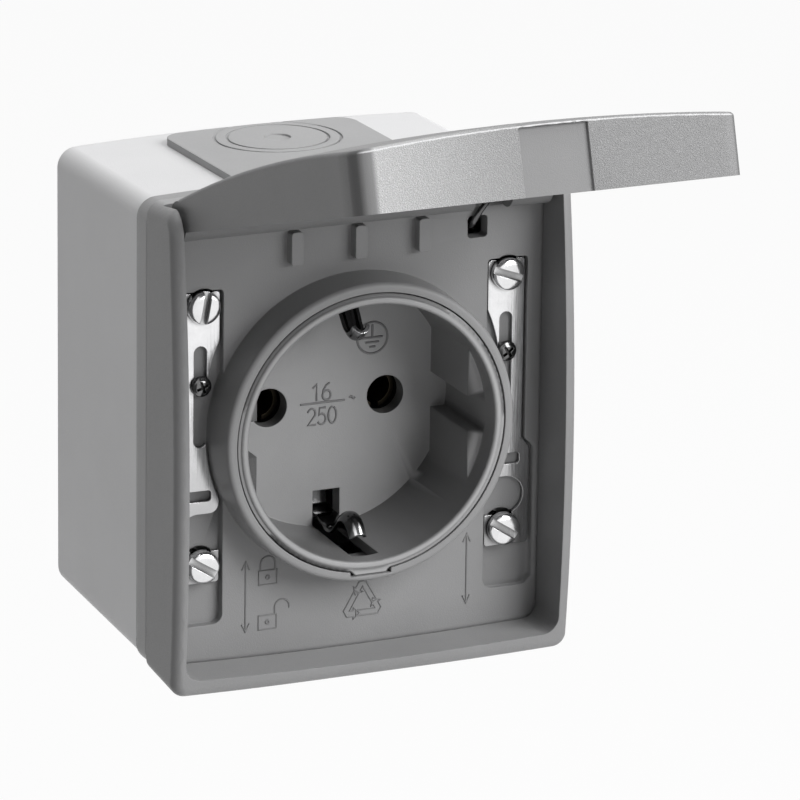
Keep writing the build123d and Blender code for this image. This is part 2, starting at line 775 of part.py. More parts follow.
def screws(places, seat, shank_end, radius, head_radius, head_height, edge):
    """A group of screws with rounded cheese heads, one at each place."""
    with BuildPart() as group:
        with BuildSketch(at_depth(shank_end)):
            with Locations(*places):
                Circle(radius)
        extrude(amount=seat - shank_end)
        with BuildSketch(at_depth(seat)):
            with Locations(*places):
                Circle(head_radius)
        extrude(amount=head_height)
        fillet(group.edges().filter_by(GeomType.CIRCLE).group_by(Axis.Y)[0], edge)
    return group.part


# Slotted screws that hold the cover
with BuildPart() as cover_screws:
    add(screws(list(cover_screw_places.values()), head_seat, column_front - cover_screw_bite,
               cover_screw_radius, cover_screw_head, cover_screw_head_height, cover_screw_edge))
    for name, (x, z) in cover_screw_places.items():
        with BuildSketch(at_depth(head_seat + cover_screw_head_height)):
            with Locations(Location((x, z), slot_turns[name])):
                Rectangle(3 * cover_screw_head, cover_screw_slot)
        extrude(amount=-cover_screw_slot_depth, mode=Mode.SUBTRACT)
cover_screws.part.label = "cover_screws"
export_step(cover_screws.part, "parts/cover_screws.step")

# Small screws that guide the sliders
with BuildPart() as guide_screws:
    add(screws([(-guide_screw_x, guide_screw_z), (guide_screw_x, guide_screw_z)], head_seat, pad_back,
               guide_screw_radius, guide_screw_head, guide_screw_head_height, guide_screw_edge))
guide_screws.part.label = "guide_screws"
export_step(guide_screws.part, "parts/guide_screws.step")

# Screws that hold the socket insert
with BuildPart() as insert_screws:
    add(screws(insert_screw_places, recess_back, insert_back - insert_screw_bite, insert_screw_radius,
               insert_screw_head, insert_screw_head_height, guide_screw_edge))
insert_screws.part.label = "insert_screws"
export_step(insert_screws.part, "parts/insert_screws.step")

# Socket insert: the round recess with its cheeks, pin holes and earth slots
with BuildPart() as socket_insert:
    with BuildSketch(collar_plane) as cup:
        with BuildLine():
            Polyline((0, insert_back), (insert_radius, insert_back), (insert_radius, insert_front),
                     (recess_radius, insert_front), (recess_floor_radius, recess_back), (0, recess_back),
                     close=True)
        make_face()
        fillet(cup.vertices().group_by(Axis.Y)[-1], insert_edge)
    revolve(axis=socket_axis)
    with BuildSketch(at_depth(recess_back - recess_floor / 2)):
        with Locations((0, socket_height)):
            Circle((recess_radius + insert_radius) / 2)
            Rectangle(cheek_spacing, 2 * insert_radius, mode=Mode.SUBTRACT)
            Rectangle(2 * insert_radius, cheek_slot, mode=Mode.SUBTRACT)
    extrude(amount=insert_front - cheek_setback - recess_back + recess_floor / 2)
    # Key at the bottom of the rim
    with BuildSketch(at_depth(insert_front - key_length)):
        with Locations((0, socket_height - insert_radius)):
            Rectangle(key_width, 2 * key_height)
    extrude(amount=key_length - insert_edge)
    # Side lugs
    with BuildSketch(at_depth(insert_back)):
        for x, z in insert_screw_places:
            with Locations((x, z)):
                Circle(insert_lug_width / 2)
            with Locations((x - (1 if x > 0 else -1) * insert_lug_width / 2, z)):
                Rectangle(insert_lug_width, insert_lug_width)
        with Locations(*insert_screw_places):
            Circle(insert_screw_radius + screw_gap, mode=Mode.SUBTRACT)
        with Locations((0, socket_height)):
            Circle(recess_floor_radius, mode=Mode.SUBTRACT)
    extrude(amount=recess_floor)
    with BuildSketch(at_depth(insert_back)):
        with Locations(*pin_places):
            Circle(pin_hole_radius)
    extrude(amount=recess_floor, mode=Mode.SUBTRACT)
    # Slots for the earth clips, through the floor and up the wall
    slot_reach = insert_radius + overcut - earth_slot_inner
    with BuildSketch(at_depth(insert_back)):
        for side in (-1, 1):
            with Locations((0, socket_height + side * (earth_slot_inner + slot_reach / 2))):
                Rectangle(earth_slot_width, slot_reach)
    extrude(amount=earth_slot_front - insert_back, mode=Mode.SUBTRACT)
socket_insert.part.label = "socket_insert"
export_step(socket_insert.part, "parts/socket_insert.step")

# Earth strap: one bent strip that ends in the two side clips
clip_points = [
    (-clip_tip_depth, clip_root_radius),
    (-clip_hump_depth, clip_radius),
    (-clip_root_depth, clip_root_radius),
    (-strap_depth, clip_root_radius),
]
strap_points = [(x, socket_height + z) for x, z in clip_points]
strap_points += [(x, socket_height - z) for x, z in reversed(clip_points)]
strap_radii = [clip_hump_bend, clip_bend, clip_bend, clip_bend, clip_bend, clip_hump_bend]
with BuildPart() as earth_strap:
    with BuildSketch(at_side(0)):
        with BuildLine():
            FilletPolyline(*strap_points, radius=strap_radii)
        trace(line_width=clip_thickness)
    extrude(amount=clip_width / 2, both=True)
earth_strap.part.label = "earth_strap"
export_step(earth_strap.part, "parts/earth_strap.step")

# Contact carrier behind the insert, with bays for the contacts and terminals
live_terminal_z = socket_height + live_terminal_rise
earth_terminal_z = socket_height - earth_terminal_drop
bay = terminal_size + 2 * terminal_gap
with BuildPart() as contact_carrier:
    with BuildSketch(at_depth(carrier_back)):
        with Locations((0, socket_height)):
            RectangleRounded(carrier_width, carrier_height, carrier_corner)
    extrude(amount=insert_back - carrier_back)
    with BuildSketch(at_depth(sleeve_back - sleeve_seat_gap)):
        with Locations(*pin_places):
            Circle(sleeve_outer + sleeve_seat_gap)
    extrude(amount=insert_back, mode=Mode.SUBTRACT)
    with BuildSketch(at_depth(strap_depth - clip_thickness / 2 - seat_gap)):
        with Locations((0, socket_height)):
            Rectangle(clip_width + 2 * strap_gap, carrier_height)
    extrude(amount=insert_back, mode=Mode.SUBTRACT)
    # Bays open upwards for line and neutral, downwards for earth
    with BuildSketch(at_depth(live_terminal_back - terminal_gap)):
        with Locations(*[(x, live_terminal_z + bay) for x, z in pin_places]):
            Rectangle(bay, 3 * bay)
    extrude(amount=terminal_height + 2 * terminal_gap, mode=Mode.SUBTRACT)
    with BuildSketch(at_depth(live_tab_depth - tab_thickness / 2 - terminal_gap)):
        with Locations(*[(x, z + live_terminal_rise / 2) for x, z in pin_places]):
            Rectangle(tab_width + 2 * terminal_gap, live_terminal_rise)
    extrude(amount=tab_thickness + 2 * terminal_gap, mode=Mode.SUBTRACT)
    with BuildSketch(at_depth(strap_depth - clip_thickness / 2 - terminal_height - terminal_gap)):
        with Locations((0, earth_terminal_z - bay)):
            Rectangle(bay, 3 * bay)
    extrude(amount=insert_back, mode=Mode.SUBTRACT)
contact_carrier.part.label = "contact_carrier"
export_step(contact_carrier.part, "parts/contact_carrier.step")

# Line and neutral contacts: a slit sleeve with a tab to its terminal
for label, side in (("neutral_contact", -1), ("line_contact", 1)):
    with BuildPart() as contact:
        with BuildSketch(at_depth(sleeve_back)):
            with Locations((side * pin_x, socket_height)):
                Circle(sleeve_outer)
        extrude(amount=sleeve_length)
        tab_top = live_terminal_z - terminal_size / 2
        with BuildSketch(at_depth(live_tab_depth - tab_thickness / 2)):
            with Locations((side * pin_x, (socket_height + tab_top) / 2)):
                Rectangle(tab_width, tab_top - socket_height)
        extrude(amount=tab_thickness)
        with BuildSketch(at_depth(sleeve_back)):
            with Locations((side * pin_x, socket_height)):
                Circle(sleeve_bore)
            with Locations((side * pin_x, socket_height - sleeve_outer / 2)):
                Rectangle(sleeve_slit, sleeve_outer + sleeve_slit)
        extrude(amount=sleeve_length, mode=Mode.SUBTRACT)
    contact.part.label = label
    export_step(contact.part, f"parts/{label}.step")

# Terminals: three drilled blocks, each with a clamping screw
terminal_places = [
    (-pin_x, live_terminal_z, live_terminal_back, 1),
    (pin_x, live_terminal_z, live_terminal_back, 1),
    (0, earth_terminal_z, strap_depth - clip_thickness / 2 - terminal_height, -1),
]
with BuildPart() as terminals:
    for x, z, back, up in terminal_places:
        middle = back + terminal_height / 2
        with BuildSketch(at_depth(back)):
            with Locations((x, z)):
                Rectangle(terminal_size, terminal_size)
        extrude(amount=terminal_height)
        # Wire hole from side to side, and the hole for its screw
        with BuildSketch(at_side(x - terminal_size / 2)):
            with Locations((-middle, z)):
                Circle(terminal_bore)
        extrude(amount=terminal_size, mode=Mode.SUBTRACT)
        with BuildSketch(Plane.XY.offset(z)):
            with Locations((x, -middle)):
                Circle(terminal_screw_radius + seat_gap)
        extrude(amount=up * terminal_size, mode=Mode.SUBTRACT)
terminals.part.label = "terminals"
export_step(terminals.part, "parts/terminals.step")

with BuildPart() as terminal_screws:
    for x, z, back, up in terminal_places:
        middle = back + terminal_height / 2
        top = z + up * terminal_size / 2
        with BuildSketch(Plane.XY.offset(z)):
            with Locations((x, -middle)):
                Circle(terminal_screw_radius)
        extrude(amount=up * terminal_size / 2)
        with BuildSketch(Plane.XY.offset(top)):
            with Locations((x, -middle)):
                Circle(terminal_screw_head)
        extrude(amount=up * terminal_screw_height)
        with BuildSketch(Plane.XY.offset(top + up * terminal_screw_height)):
            with Locations((x, -middle)):
                Rectangle(2 * terminal_screw_head, terminal_screw_slot)
        extrude(amount=-up * terminal_screw_height / 2, mode=Mode.SUBTRACT)
terminal_screws.part.label = "terminal_screws"
export_step(terminal_screws.part, "parts/terminal_screws.step")
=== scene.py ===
"""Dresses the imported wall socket: studio, camera, finishes and the fine shapes of each piece."""

import json
import logging
import math
from collections.abc import Iterable, Sequence
from dataclasses import dataclass
from enum import Enum

import bmesh
import bpy
from mathutils import Matrix, Vector

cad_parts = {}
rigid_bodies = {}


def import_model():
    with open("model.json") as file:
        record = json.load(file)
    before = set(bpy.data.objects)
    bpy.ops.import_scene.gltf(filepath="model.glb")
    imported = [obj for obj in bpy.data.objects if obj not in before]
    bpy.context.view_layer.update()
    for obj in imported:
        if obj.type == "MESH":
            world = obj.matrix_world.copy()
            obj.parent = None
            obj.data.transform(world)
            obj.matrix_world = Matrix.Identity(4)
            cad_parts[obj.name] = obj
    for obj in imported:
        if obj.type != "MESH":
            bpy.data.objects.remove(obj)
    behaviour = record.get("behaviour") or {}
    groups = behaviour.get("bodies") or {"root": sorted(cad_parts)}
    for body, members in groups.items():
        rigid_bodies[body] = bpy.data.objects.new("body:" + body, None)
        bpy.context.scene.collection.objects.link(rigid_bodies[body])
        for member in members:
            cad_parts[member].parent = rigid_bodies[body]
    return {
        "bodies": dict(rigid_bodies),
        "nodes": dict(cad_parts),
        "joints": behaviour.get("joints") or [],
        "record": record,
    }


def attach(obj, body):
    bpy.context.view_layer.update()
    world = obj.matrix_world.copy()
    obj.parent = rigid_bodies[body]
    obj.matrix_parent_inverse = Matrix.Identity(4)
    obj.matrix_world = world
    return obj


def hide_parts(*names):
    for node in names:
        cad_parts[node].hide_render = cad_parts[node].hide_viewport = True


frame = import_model()

LOG = logging.getLogger("socket")
MM = 0.001

BLUE_SHARE = 1.01
MERGE_MM = 0.004
FLAT_DEGREES = 0.3

Colour = tuple[float, float, float]
Point2 = tuple[float, float]
Point3 = tuple[float, float, float]
Path = tuple[Sequence[Point3], bool]
Outline = tuple[list[Point2], bool]
Object = bpy.types.Object
Material = bpy.types.Material
Tree = bpy.types.NodeTree
Node = bpy.types.Node
NodeSocket = bpy.types.NodeSocket
EditMesh = bmesh.types.BMesh

LID_TILT = math.radians(17.0)
LID_HINGE = Vector((0.0, -0.0457, 0.0352))
LID_RUN = Vector((0.0, -math.cos(LID_TILT), math.sin(LID_TILT)))
LID_UP = Vector((0.0, math.sin(LID_TILT), math.cos(LID_TILT)))


def grey(value: float) -> Colour:
    """Neutral colour of one linear value, with a trace more blue."""
    return (value, value, value * BLUE_SHARE)


# Meshes ---------------------------------------------------------------


def add_object(name: str, mesh: bpy.types.Mesh) -> Object:
    """Links a mesh to the scene as an object at the origin.

    Args:
        name: Name of the new object.
        mesh: Mesh with its place in its vertices.

    Returns:
        The new object.
    """
    obj = bpy.data.objects.new(name, mesh)
    bpy.context.scene.collection.objects.link(obj)
    return obj


def object_from(name: str, bm: EditMesh) -> Object:
    """Turns an edit mesh into an object and frees it.

    Args:
        name: Name of the new object.
        bm: Edit mesh in metres.

    Returns:
        The new object.
    """
    mesh = bpy.data.meshes.new(name)
    bm.to_mesh(mesh)
    bm.free()
    return add_object(name, mesh)


def copy_of_node(frame: dict, node: str, name: str) -> Object:
    """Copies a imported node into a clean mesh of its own, with its doubles merged.

    Args:
        frame: The loaded frame.
        node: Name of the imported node.
        name: Name of the copy.

    Returns:
        The copy, linked to the scene.
    """
    bm = bmesh.new()
    bm.from_mesh(frame["nodes"][node].data)
    bmesh.ops.remove_doubles(bm, verts=bm.verts, dist=MERGE_MM * MM)
    bmesh.ops.dissolve_degenerate(bm, edges=bm.edges, dist=MERGE_MM * MM)
    flat = math.radians(FLAT_DEGREES)
    bmesh.ops.dissolve_limit(bm, angle_limit=flat, verts=bm.verts, edges=bm.edges)
    return object_from(name, bm)


def shade(obj: Object, angle: float = 30.0) -> None:
    """Shades an object smooth, except over edges sharper than an angle.

    Args:
        obj: Object to shade.
        angle: Angle in degrees from which an edge stays sharp.
    """
    mesh = obj.data
    mesh.shade_smooth()
    mesh.set_sharp_from_angle(angle=math.radians(angle))


def steady_normals(obj: Object) -> None:
    """Weighs the normals of an object by face area, so that no light runs across its flat faces.

    Args:
        obj: Object that is shaded smooth.
    """
    weighing = obj.modifiers.new("steady normals", "WEIGHTED_NORMAL")
    weighing.mode = "FACE_AREA_WITH_ANGLE"
    weighing.weight = 100
    weighing.keep_sharp = True
    apply_modifiers(obj)


def apply_modifiers(obj: Object) -> None:
    """Replaces an object's mesh by its evaluated mesh and drops its modifiers.

    Args:
        obj: Object whose modifiers are all applied.
    """
    depsgraph = bpy.context.evaluated_depsgraph_get()
    mesh = bpy.data.meshes.new_from_object(obj.evaluated_get(depsgraph))
    obj.modifiers.clear()
    obj.data = mesh


def round_edges(obj: Object, width: float, angle: float, segments: int = 2) -> None:
    """Rounds the sharp edges of an object with real faces.

    Args:
        obj: Object to round.
        width: Width of the rounding in millimetres.
        angle: Angle in degrees from which an edge is rounded.
        segments: Faces across the rounding.
    """
    bevel = obj.modifiers.new("rounded edges", "BEVEL")
    bevel.width = width * MM
    bevel.segments = segments
    bevel.limit_method = "ANGLE"
    bevel.angle_limit = math.radians(angle)
    bevel.harden_normals = False
    bevel.use_clamp_overlap = True
    apply_modifiers(obj)
    shade(obj)


def revolved(profile: Sequence[Point2], steps: int) -> EditMesh:
    """Edit mesh of a closed profile turned round the Y axis.

    Args:
        profile: Radius and depth of each corner in millimetres, closed by itself.
        steps: Facets round the axis.

    Returns:
        The edit mesh, with the depth along minus Y.
    """
    bm = bmesh.new()
    rings = []
    for step in range(steps):
        turn = 2 * math.pi * step / steps
        across, up = MM * math.cos(turn), MM * math.sin(turn)
        rings.append([bm.verts.new((r * across, -d * MM, r * up)) for r, d in profile])
    for step in range(steps):
        ring, following = rings[step], rings[(step + 1) % steps]
        for i in range(len(profile)):
            j = (i + 1) % len(profile)
            bm.faces.new((ring[i], ring[j], following[j], following[i]))
    bmesh.ops.recalc_face_normals(bm, faces=bm.faces)
    return bm


# Shader nodes ---------------------------------------------------------


class Sockets(Enum):
    """Kinds of socket that the node trees use."""

    VALUE = "NodeSocketFloat"
    WHOLE = "NodeSocketInt"
    VECTOR = "NodeSocketVector"
    SHAPE = "NodeSocketGeometry"
    OBJECT = "NodeSocketObject"
    MATERIAL = "NodeSocketMaterial"


@dataclass
class Net:
    """Short hand for adding and joining the nodes of one tree."""

    tree: Tree

    def add(self, kind: str, **settings: object) -> Node:
        """Adds a node and sets its properties.

        Args:
            kind: Blender's name of the node type.
            settings: Properties of the node.

        Returns:
            The new node.
        """
        node = self.tree.nodes.new(kind)
        for key, value in settings.items():
            setattr(node, key, value)
        return node

    def join(self, out: NodeSocket, to: NodeSocket) -> None:
        """Joins an output to an input."""
        self.tree.links.new(out, to)

    def feed(self, source: object, to: NodeSocket) -> None:
        """Joins a socket to an input, or sets the input to a plain value."""
        if isinstance(source, NodeSocket):
            self.join(source, to)
        elif source is not None:
            to.default_value = source

    def math(self, operation: str, a: object, b: object = None, clamp: bool = False) -> NodeSocket:
        """Adds a Math node.

        Args:
            operation: The operation's name.
            a: First socket or number.
            b: Second socket or number.
            clamp: Whether the result is held between 0 and 1.

        Returns:
            The node's output.
        """
        node = self.add("ShaderNodeMath", operation=operation, use_clamp=clamp)
        self.feed(a, node.inputs[0])
        self.feed(b, node.inputs[1])
        return node.outputs[0]

    def product(self, *factors: object) -> NodeSocket:
        """Multiplies sockets and numbers, from the first to the last."""
        result = factors[0]
        for factor in factors[1:]:
            result = self.math("MULTIPLY", result, factor)
        return result

    def vector(self, operation: str, a: object, b: object = None) -> NodeSocket:
        """Adds a Vector Math node.

        Args:
            operation: The operation's name.
            a: First vector.
            b: Second vector, or the factor of a scaling.

        Returns:
            The node's output: a number for a dot product, else a vector.
        """
        node = self.add("ShaderNodeVectorMath", operation=operation)
        self.feed(a, node.inputs[0])
        self.feed(b, node.inputs["Scale" if operation == "SCALE" else 1])
        return node.outputs["Value" if operation == "DOT_PRODUCT" else "Vector"]

    def split(self, vector: NodeSocket) -> bpy.types.NodeOutputs:
        """Adds a Separate XYZ node and gives its three outputs."""
        node = self.add("ShaderNodeSeparateXYZ")
        self.join(vector, node.inputs[0])
        return node.outputs

    def span(self, value: object, low: float, high: float,
             to_low: float = 0.0, to_high: float = 1.0) -> NodeSocket:
        """Adds a Map Range node that is clamped at both ends.

        Args:
            value: Socket or number to map.
            low: Value that becomes to_low.
            high: Value that becomes to_high.
            to_low: Result at the low end.
            to_high: Result at the high end.

        Returns:
            The node's output.
        """
        node = self.add("ShaderNodeMapRange")
        self.feed(value, node.inputs["Value"])
        settings = {"From Min": low, "From Max": high, "To Min": to_low, "To Max": to_high}
        for key, number in settings.items():
            node.inputs[key].default_value = number
        return node.outputs["Result"]

    def noise(self, at: object, scale: object, detail: float = 2.0, rough: float = 0.5) -> NodeSocket:
        """Adds a Noise Texture node.

        Args:
            at: Vector socket.
            scale: Socket or number.
            detail: Octaves.
            rough: Share of each further octave.

        Returns:
            The noise value.
        """
        node = self.add("ShaderNodeTexNoise")
        self.feed(at, node.inputs["Vector"])
        self.feed(scale, node.inputs["Scale"])
        node.inputs["Detail"].default_value = detail
        node.inputs["Roughness"].default_value = rough
        return node.outputs["Fac"]

    def mix(self, factor: object, a: object, b: object) -> NodeSocket:
        """Adds a colour Mix node.

        Args:
            factor: Share of the second colour.
            a: First colour.
            b: Second colour.

        Returns:
            The mixed colour.
        """
        node = self.add("ShaderNodeMix", data_type="RGBA")
        self.feed(factor, node.inputs["Factor"])
        self.feed(four(a), node.inputs[6])
        self.feed(four(b), node.inputs[7])
        return node.outputs[2]


def four(colour: object) -> object:
    """Adds full alpha to a plain colour and leaves a socket as it is."""
    if isinstance(colour, tuple) and len(colour) == 3:
        return (*colour, 1.0)
    return colour


def scaled(colour: Colour, factor: float) -> Colour:
    """Colour times a factor, held at white."""
    return tuple(min(1.0, channel * factor) for channel in colour)


def new_group(name: str, inputs: dict[str, float],
              outputs: Sequence[str]) -> tuple[Tree, Net, dict, dict]:
    """Starts a shader group with named value inputs and outputs, and a place input.

    Args:
        name: Name of the group.
        inputs: Value inputs with their defaults.
        outputs: Value outputs.

    Returns:
        The group, its net, its inputs inside and its outputs inside.
    """
    tree = bpy.data.node_groups.new(name, "ShaderNodeTree")
    tree.interface.new_socket("Place", in_out="INPUT", socket_type=Sockets.VECTOR.value)
    kind = Sockets.VALUE.value
    for key, value in inputs.items():
        tree.interface.new_socket(key, in_out="INPUT", socket_type=kind).default_value = value
    for key in outputs:
        tree.interface.new_socket(key, in_out="OUTPUT", socket_type=kind)
    net = Net(tree)
    entry, leave = net.add("NodeGroupInput"), net.add("NodeGroupOutput")
    return tree, net, entry.outputs, leave.inputs


class SurfaceGroups:
    """Shader groups that several finishes share."""

    WANDER_SCALE = 900.0
    WANDER_REACH = 0.0006
    CELL_SOFTNESS = 0.7
    CELL_SPAN = (0.1, 0.75)
    TOOTH_SCALE = 3.1
    FINE_SCALE = 28.0
    CLOUD_SCALE = 420.0
    CLOUD_SPAN = (0.35, 0.7)
    NOISE_SPAN = (0.3, 0.7)

    def __init__(self) -> None:
        """Builds all groups once."""
        self.grain = self._grain()
        self.mottle = self._mottle()
        self.scuffs = self._scuffs()

    def _grain(self) -> Tree:
        """Pebbled mould grain: rounded cells over a finer tooth.

        Returns:
            The group, with outputs Height and Tone.
        """
        tree, net, given, out = new_group(
            "mould grain", {"Cells per metre": 2600.0, "Tooth": 0.35}, ("Height", "Tone"))
        wander = net.add("ShaderNodeTexNoise")
        net.join(given["Place"], wander.inputs["Vector"])
        wander.inputs["Scale"].default_value = self.WANDER_SCALE
        shift = net.vector("SCALE", wander.outputs["Color"], self.WANDER_REACH)
        cells = net.add("ShaderNodeTexVoronoi", feature="SMOOTH_F1")
        net.join(net.vector("ADD", given["Place"], shift), cells.inputs["Vector"])
        net.join(given["Cells per metre"], cells.inputs["Scale"])
        cells.inputs["Smoothness"].default_value = self.CELL_SOFTNESS
        rounded = net.span(cells.outputs["Distance"], *self.CELL_SPAN, 1.0, 0.0)
        finer = net.product(given["Cells per metre"], self.TOOTH_SCALE)
        lively = net.product(net.noise(given["Place"], finer, 2.0, 0.6), given["Tooth"])
        net.join(net.math("ADD", rounded, lively), out["Height"])
        net.join(rounded, out["Tone"])
        return tree

    def _mottle(self) -> Tree:
        """Broad, faint unevenness of a moulded or handled surface.

        Returns:
            The group, with outputs Tone and Fine.
        """
        tree, net, given, out = new_group("soft mottle", {"Scale": 60.0}, ("Tone", "Fine"))
        broad = net.noise(given["Place"], given["Scale"], 3.0, 0.55)
        fine = net.noise(given["Place"], net.product(given["Scale"], self.FINE_SCALE), 2.0, 0.6)
        net.join(net.span(broad, *self.NOISE_SPAN), out["Tone"])
        net.join(net.span(fine, *self.NOISE_SPAN), out["Fine"])
        return tree

    def _scuffs(self) -> Tree:
        """Fine rubbed lines of plated or rolled metal.

        Returns:
            The group, with outputs Lines and Cloud.
        """
        tree, net, given, out = new_group(
            "rubbed lines", {"Lines per metre": 4200.0, "Stretch": 0.04}, ("Lines", "Cloud"))
        squeeze = net.add("ShaderNodeCombineXYZ")
        squeeze.inputs["X"].default_value = 1.0
        squeeze.inputs["Y"].default_value = 1.0
        net.join(given["Stretch"], squeeze.inputs["Z"])
        place = net.vector("MULTIPLY", given["Place"], squeeze.outputs[0])
        lines = net.noise(place, given["Lines per metre"], 2.0, 0.6)
        cloud = net.noise(given["Place"], self.CLOUD_SCALE, 3.0, 0.6)
        net.join(net.span(lines, *self.NOISE_SPAN), out["Lines"])
        net.join(net.span(cloud, *self.CLOUD_SPAN), out["Cloud"])
        return tree


@dataclass
class Surface:
    """A material in the making: its net, its shader and its coordinates."""

    material: Material
    net: Net
    shader: Node
    place: NodeSocket
    normal: NodeSocket

    @classmethod
    def start(cls, name: str) -> "Surface":
        """Starts a material with one Principled shader and object coordinates."""
        material = bpy.data.materials.new(name)
        material.use_nodes = True
        net = Net(material.node_tree)
        given = net.add("ShaderNodeTexCoord").outputs
        return cls(material, net, material.node_tree.nodes["Principled BSDF"],
                   given["Object"], given["Normal"])

    def group(self, tree: Tree, **values: float) -> bpy.types.NodeOutputs:
        """Places a shader group.

        Args:
            tree: The group.
            values: Values of its inputs, with underscores for spaces.

        Returns:
            Its outputs.
        """
        node = self.net.add("ShaderNodeGroup", node_tree=tree)
        self.net.join(self.place, node.inputs["Place"])
        for key, value in values.items():
            node.inputs[key.replace("_", " ")].default_value = value
        return node.outputs

    def roughen(self, share: NodeSocket, roughness: float, spread: Point2) -> None:
        """Feeds a roughness that follows a share.

        Args:
            share: Socket from 0 to 1.
            roughness: The middle value.
            spread: What is added to it at 0 and at 1.
        """
        low, high = (roughness + change for change in spread)
        self.net.join(self.net.span(share, 0.0, 1.0, low, high), self.shader.inputs["Roughness"])

    def relieve(self, height: NodeSocket, depth: float, edge: object = 0.0) -> None:
        """Feeds a height through a Bump node, over softly rounded edges.

        Args:
            height: Height socket, from 0 to about 1.
            depth: Height of a full step, in millimetres.
            edge: Radius of the softened edges in millimetres, as a number or a socket in
                metres, or 0 for none.
        """
        net = self.net
        bump = net.add("ShaderNodeBump")
        bump.inputs["Strength"].default_value = 1.0
        bump.inputs["Distance"].default_value = depth * MM
        net.join(height, bump.inputs["Height"])
        if edge:
            rounding = net.add("ShaderNodeBevel", samples=6)
            radius = edge * MM if isinstance(edge, float) else edge
            net.feed(radius, rounding.inputs["Radius"])
            net.join(rounding.outputs[0], bump.inputs["Normal"])
        net.join(bump.outputs[0], self.shader.inputs["Normal"])


@dataclass(frozen=True)
class MouldedPlastic:
    """A moulded thermoplastic with the fine grain of its tool."""

    name: str
    colour: Colour
    roughness: float = 0.45
    rough_spread: Point2 = (0.06, -0.05)
    cells: float = 5200.0
    depth: float = 0.012
    mottle: float = 0.06
    patches: float = 55.0
    fleck: float = 0.5
    edge: float = 0.25
    gloss: float = 0.1
    rim: float = 0.0
    rim_side: float = 28.4
    rim_foot: float = -32.4
    # Painted light and shade by facing: weights across and up; a positive weight darkens walls that
    # turn that way, a negative one lightens them.
    facing_light_and_shade: Point2 = (0.0, 0.0)

    def material(self, groups: SurfaceGroups) -> Material:
        """Builds the material.

        Args:
            groups: The shared shader groups.

        Returns:
            The material.
        """
        surface = Surface.start(self.name)
        net, shader = surface.net, surface.shader
        grain = surface.group(groups.grain, Cells_per_metre=self.cells)
        mottle = surface.group(groups.mottle, Scale=self.patches)
        dark, light = (scaled(self.colour, 1.0 + sign * self.mottle) for sign in (-1, 1))
        broad = net.mix(mottle["Tone"], dark, light)
        tone = net.mix(net.product(mottle["Fine"], self.fleck), broad, self.colour)
        # Painted light and shade by how each face turns.
        if any(self.facing_light_and_shade):
            tone = self._light_and_shade_by_facing(surface, tone)
        net.join(tone, shader.inputs["Base Color"])
        surface.roughen(grain["Tone"], self.roughness, self.rough_spread)
        shader.inputs["Specular IOR Level"].default_value = self.gloss
        edge = self._edge(surface) if self.rim else self.edge
        surface.relieve(grain["Height"], self.depth, edge)
        return surface.material

    def _light_and_shade_by_facing(self, surface: Surface, tone: NodeSocket) -> NodeSocket:
        """Paints shade on the walls that turn across or up, by their weights, against the faces in
        front; a negative weight paints light instead.

        Args:
            surface: The material in the making.
            tone: Colour in front.

        Returns:
            The colour.
        """
        net = surface.net
        across, up = self.facing_light_and_shade
        turned = net.vector("DOT_PRODUCT", net.vector("ABSOLUTE", surface.normal), (across, 0.0, up))
        return net.vector("SCALE", tone, net.math("SUBTRACT", 1.0, turned))

    def _edge(self, surface: Surface) -> NodeSocket:
        """Radius of the softened edges in metres, wider along the plate's outline."""
        net = surface.net
        split = net.split(surface.place)
        aside = net.math("GREATER_THAN", net.math("ABSOLUTE", split["X"]), self.rim_side * MM)
        below = net.math("LESS_THAN", split["Z"], self.rim_foot * MM)
        outline = net.math("MAXIMUM", aside, below)
        return net.span(outline, 0.0, 1.0, self.edge * MM, self.rim * MM)


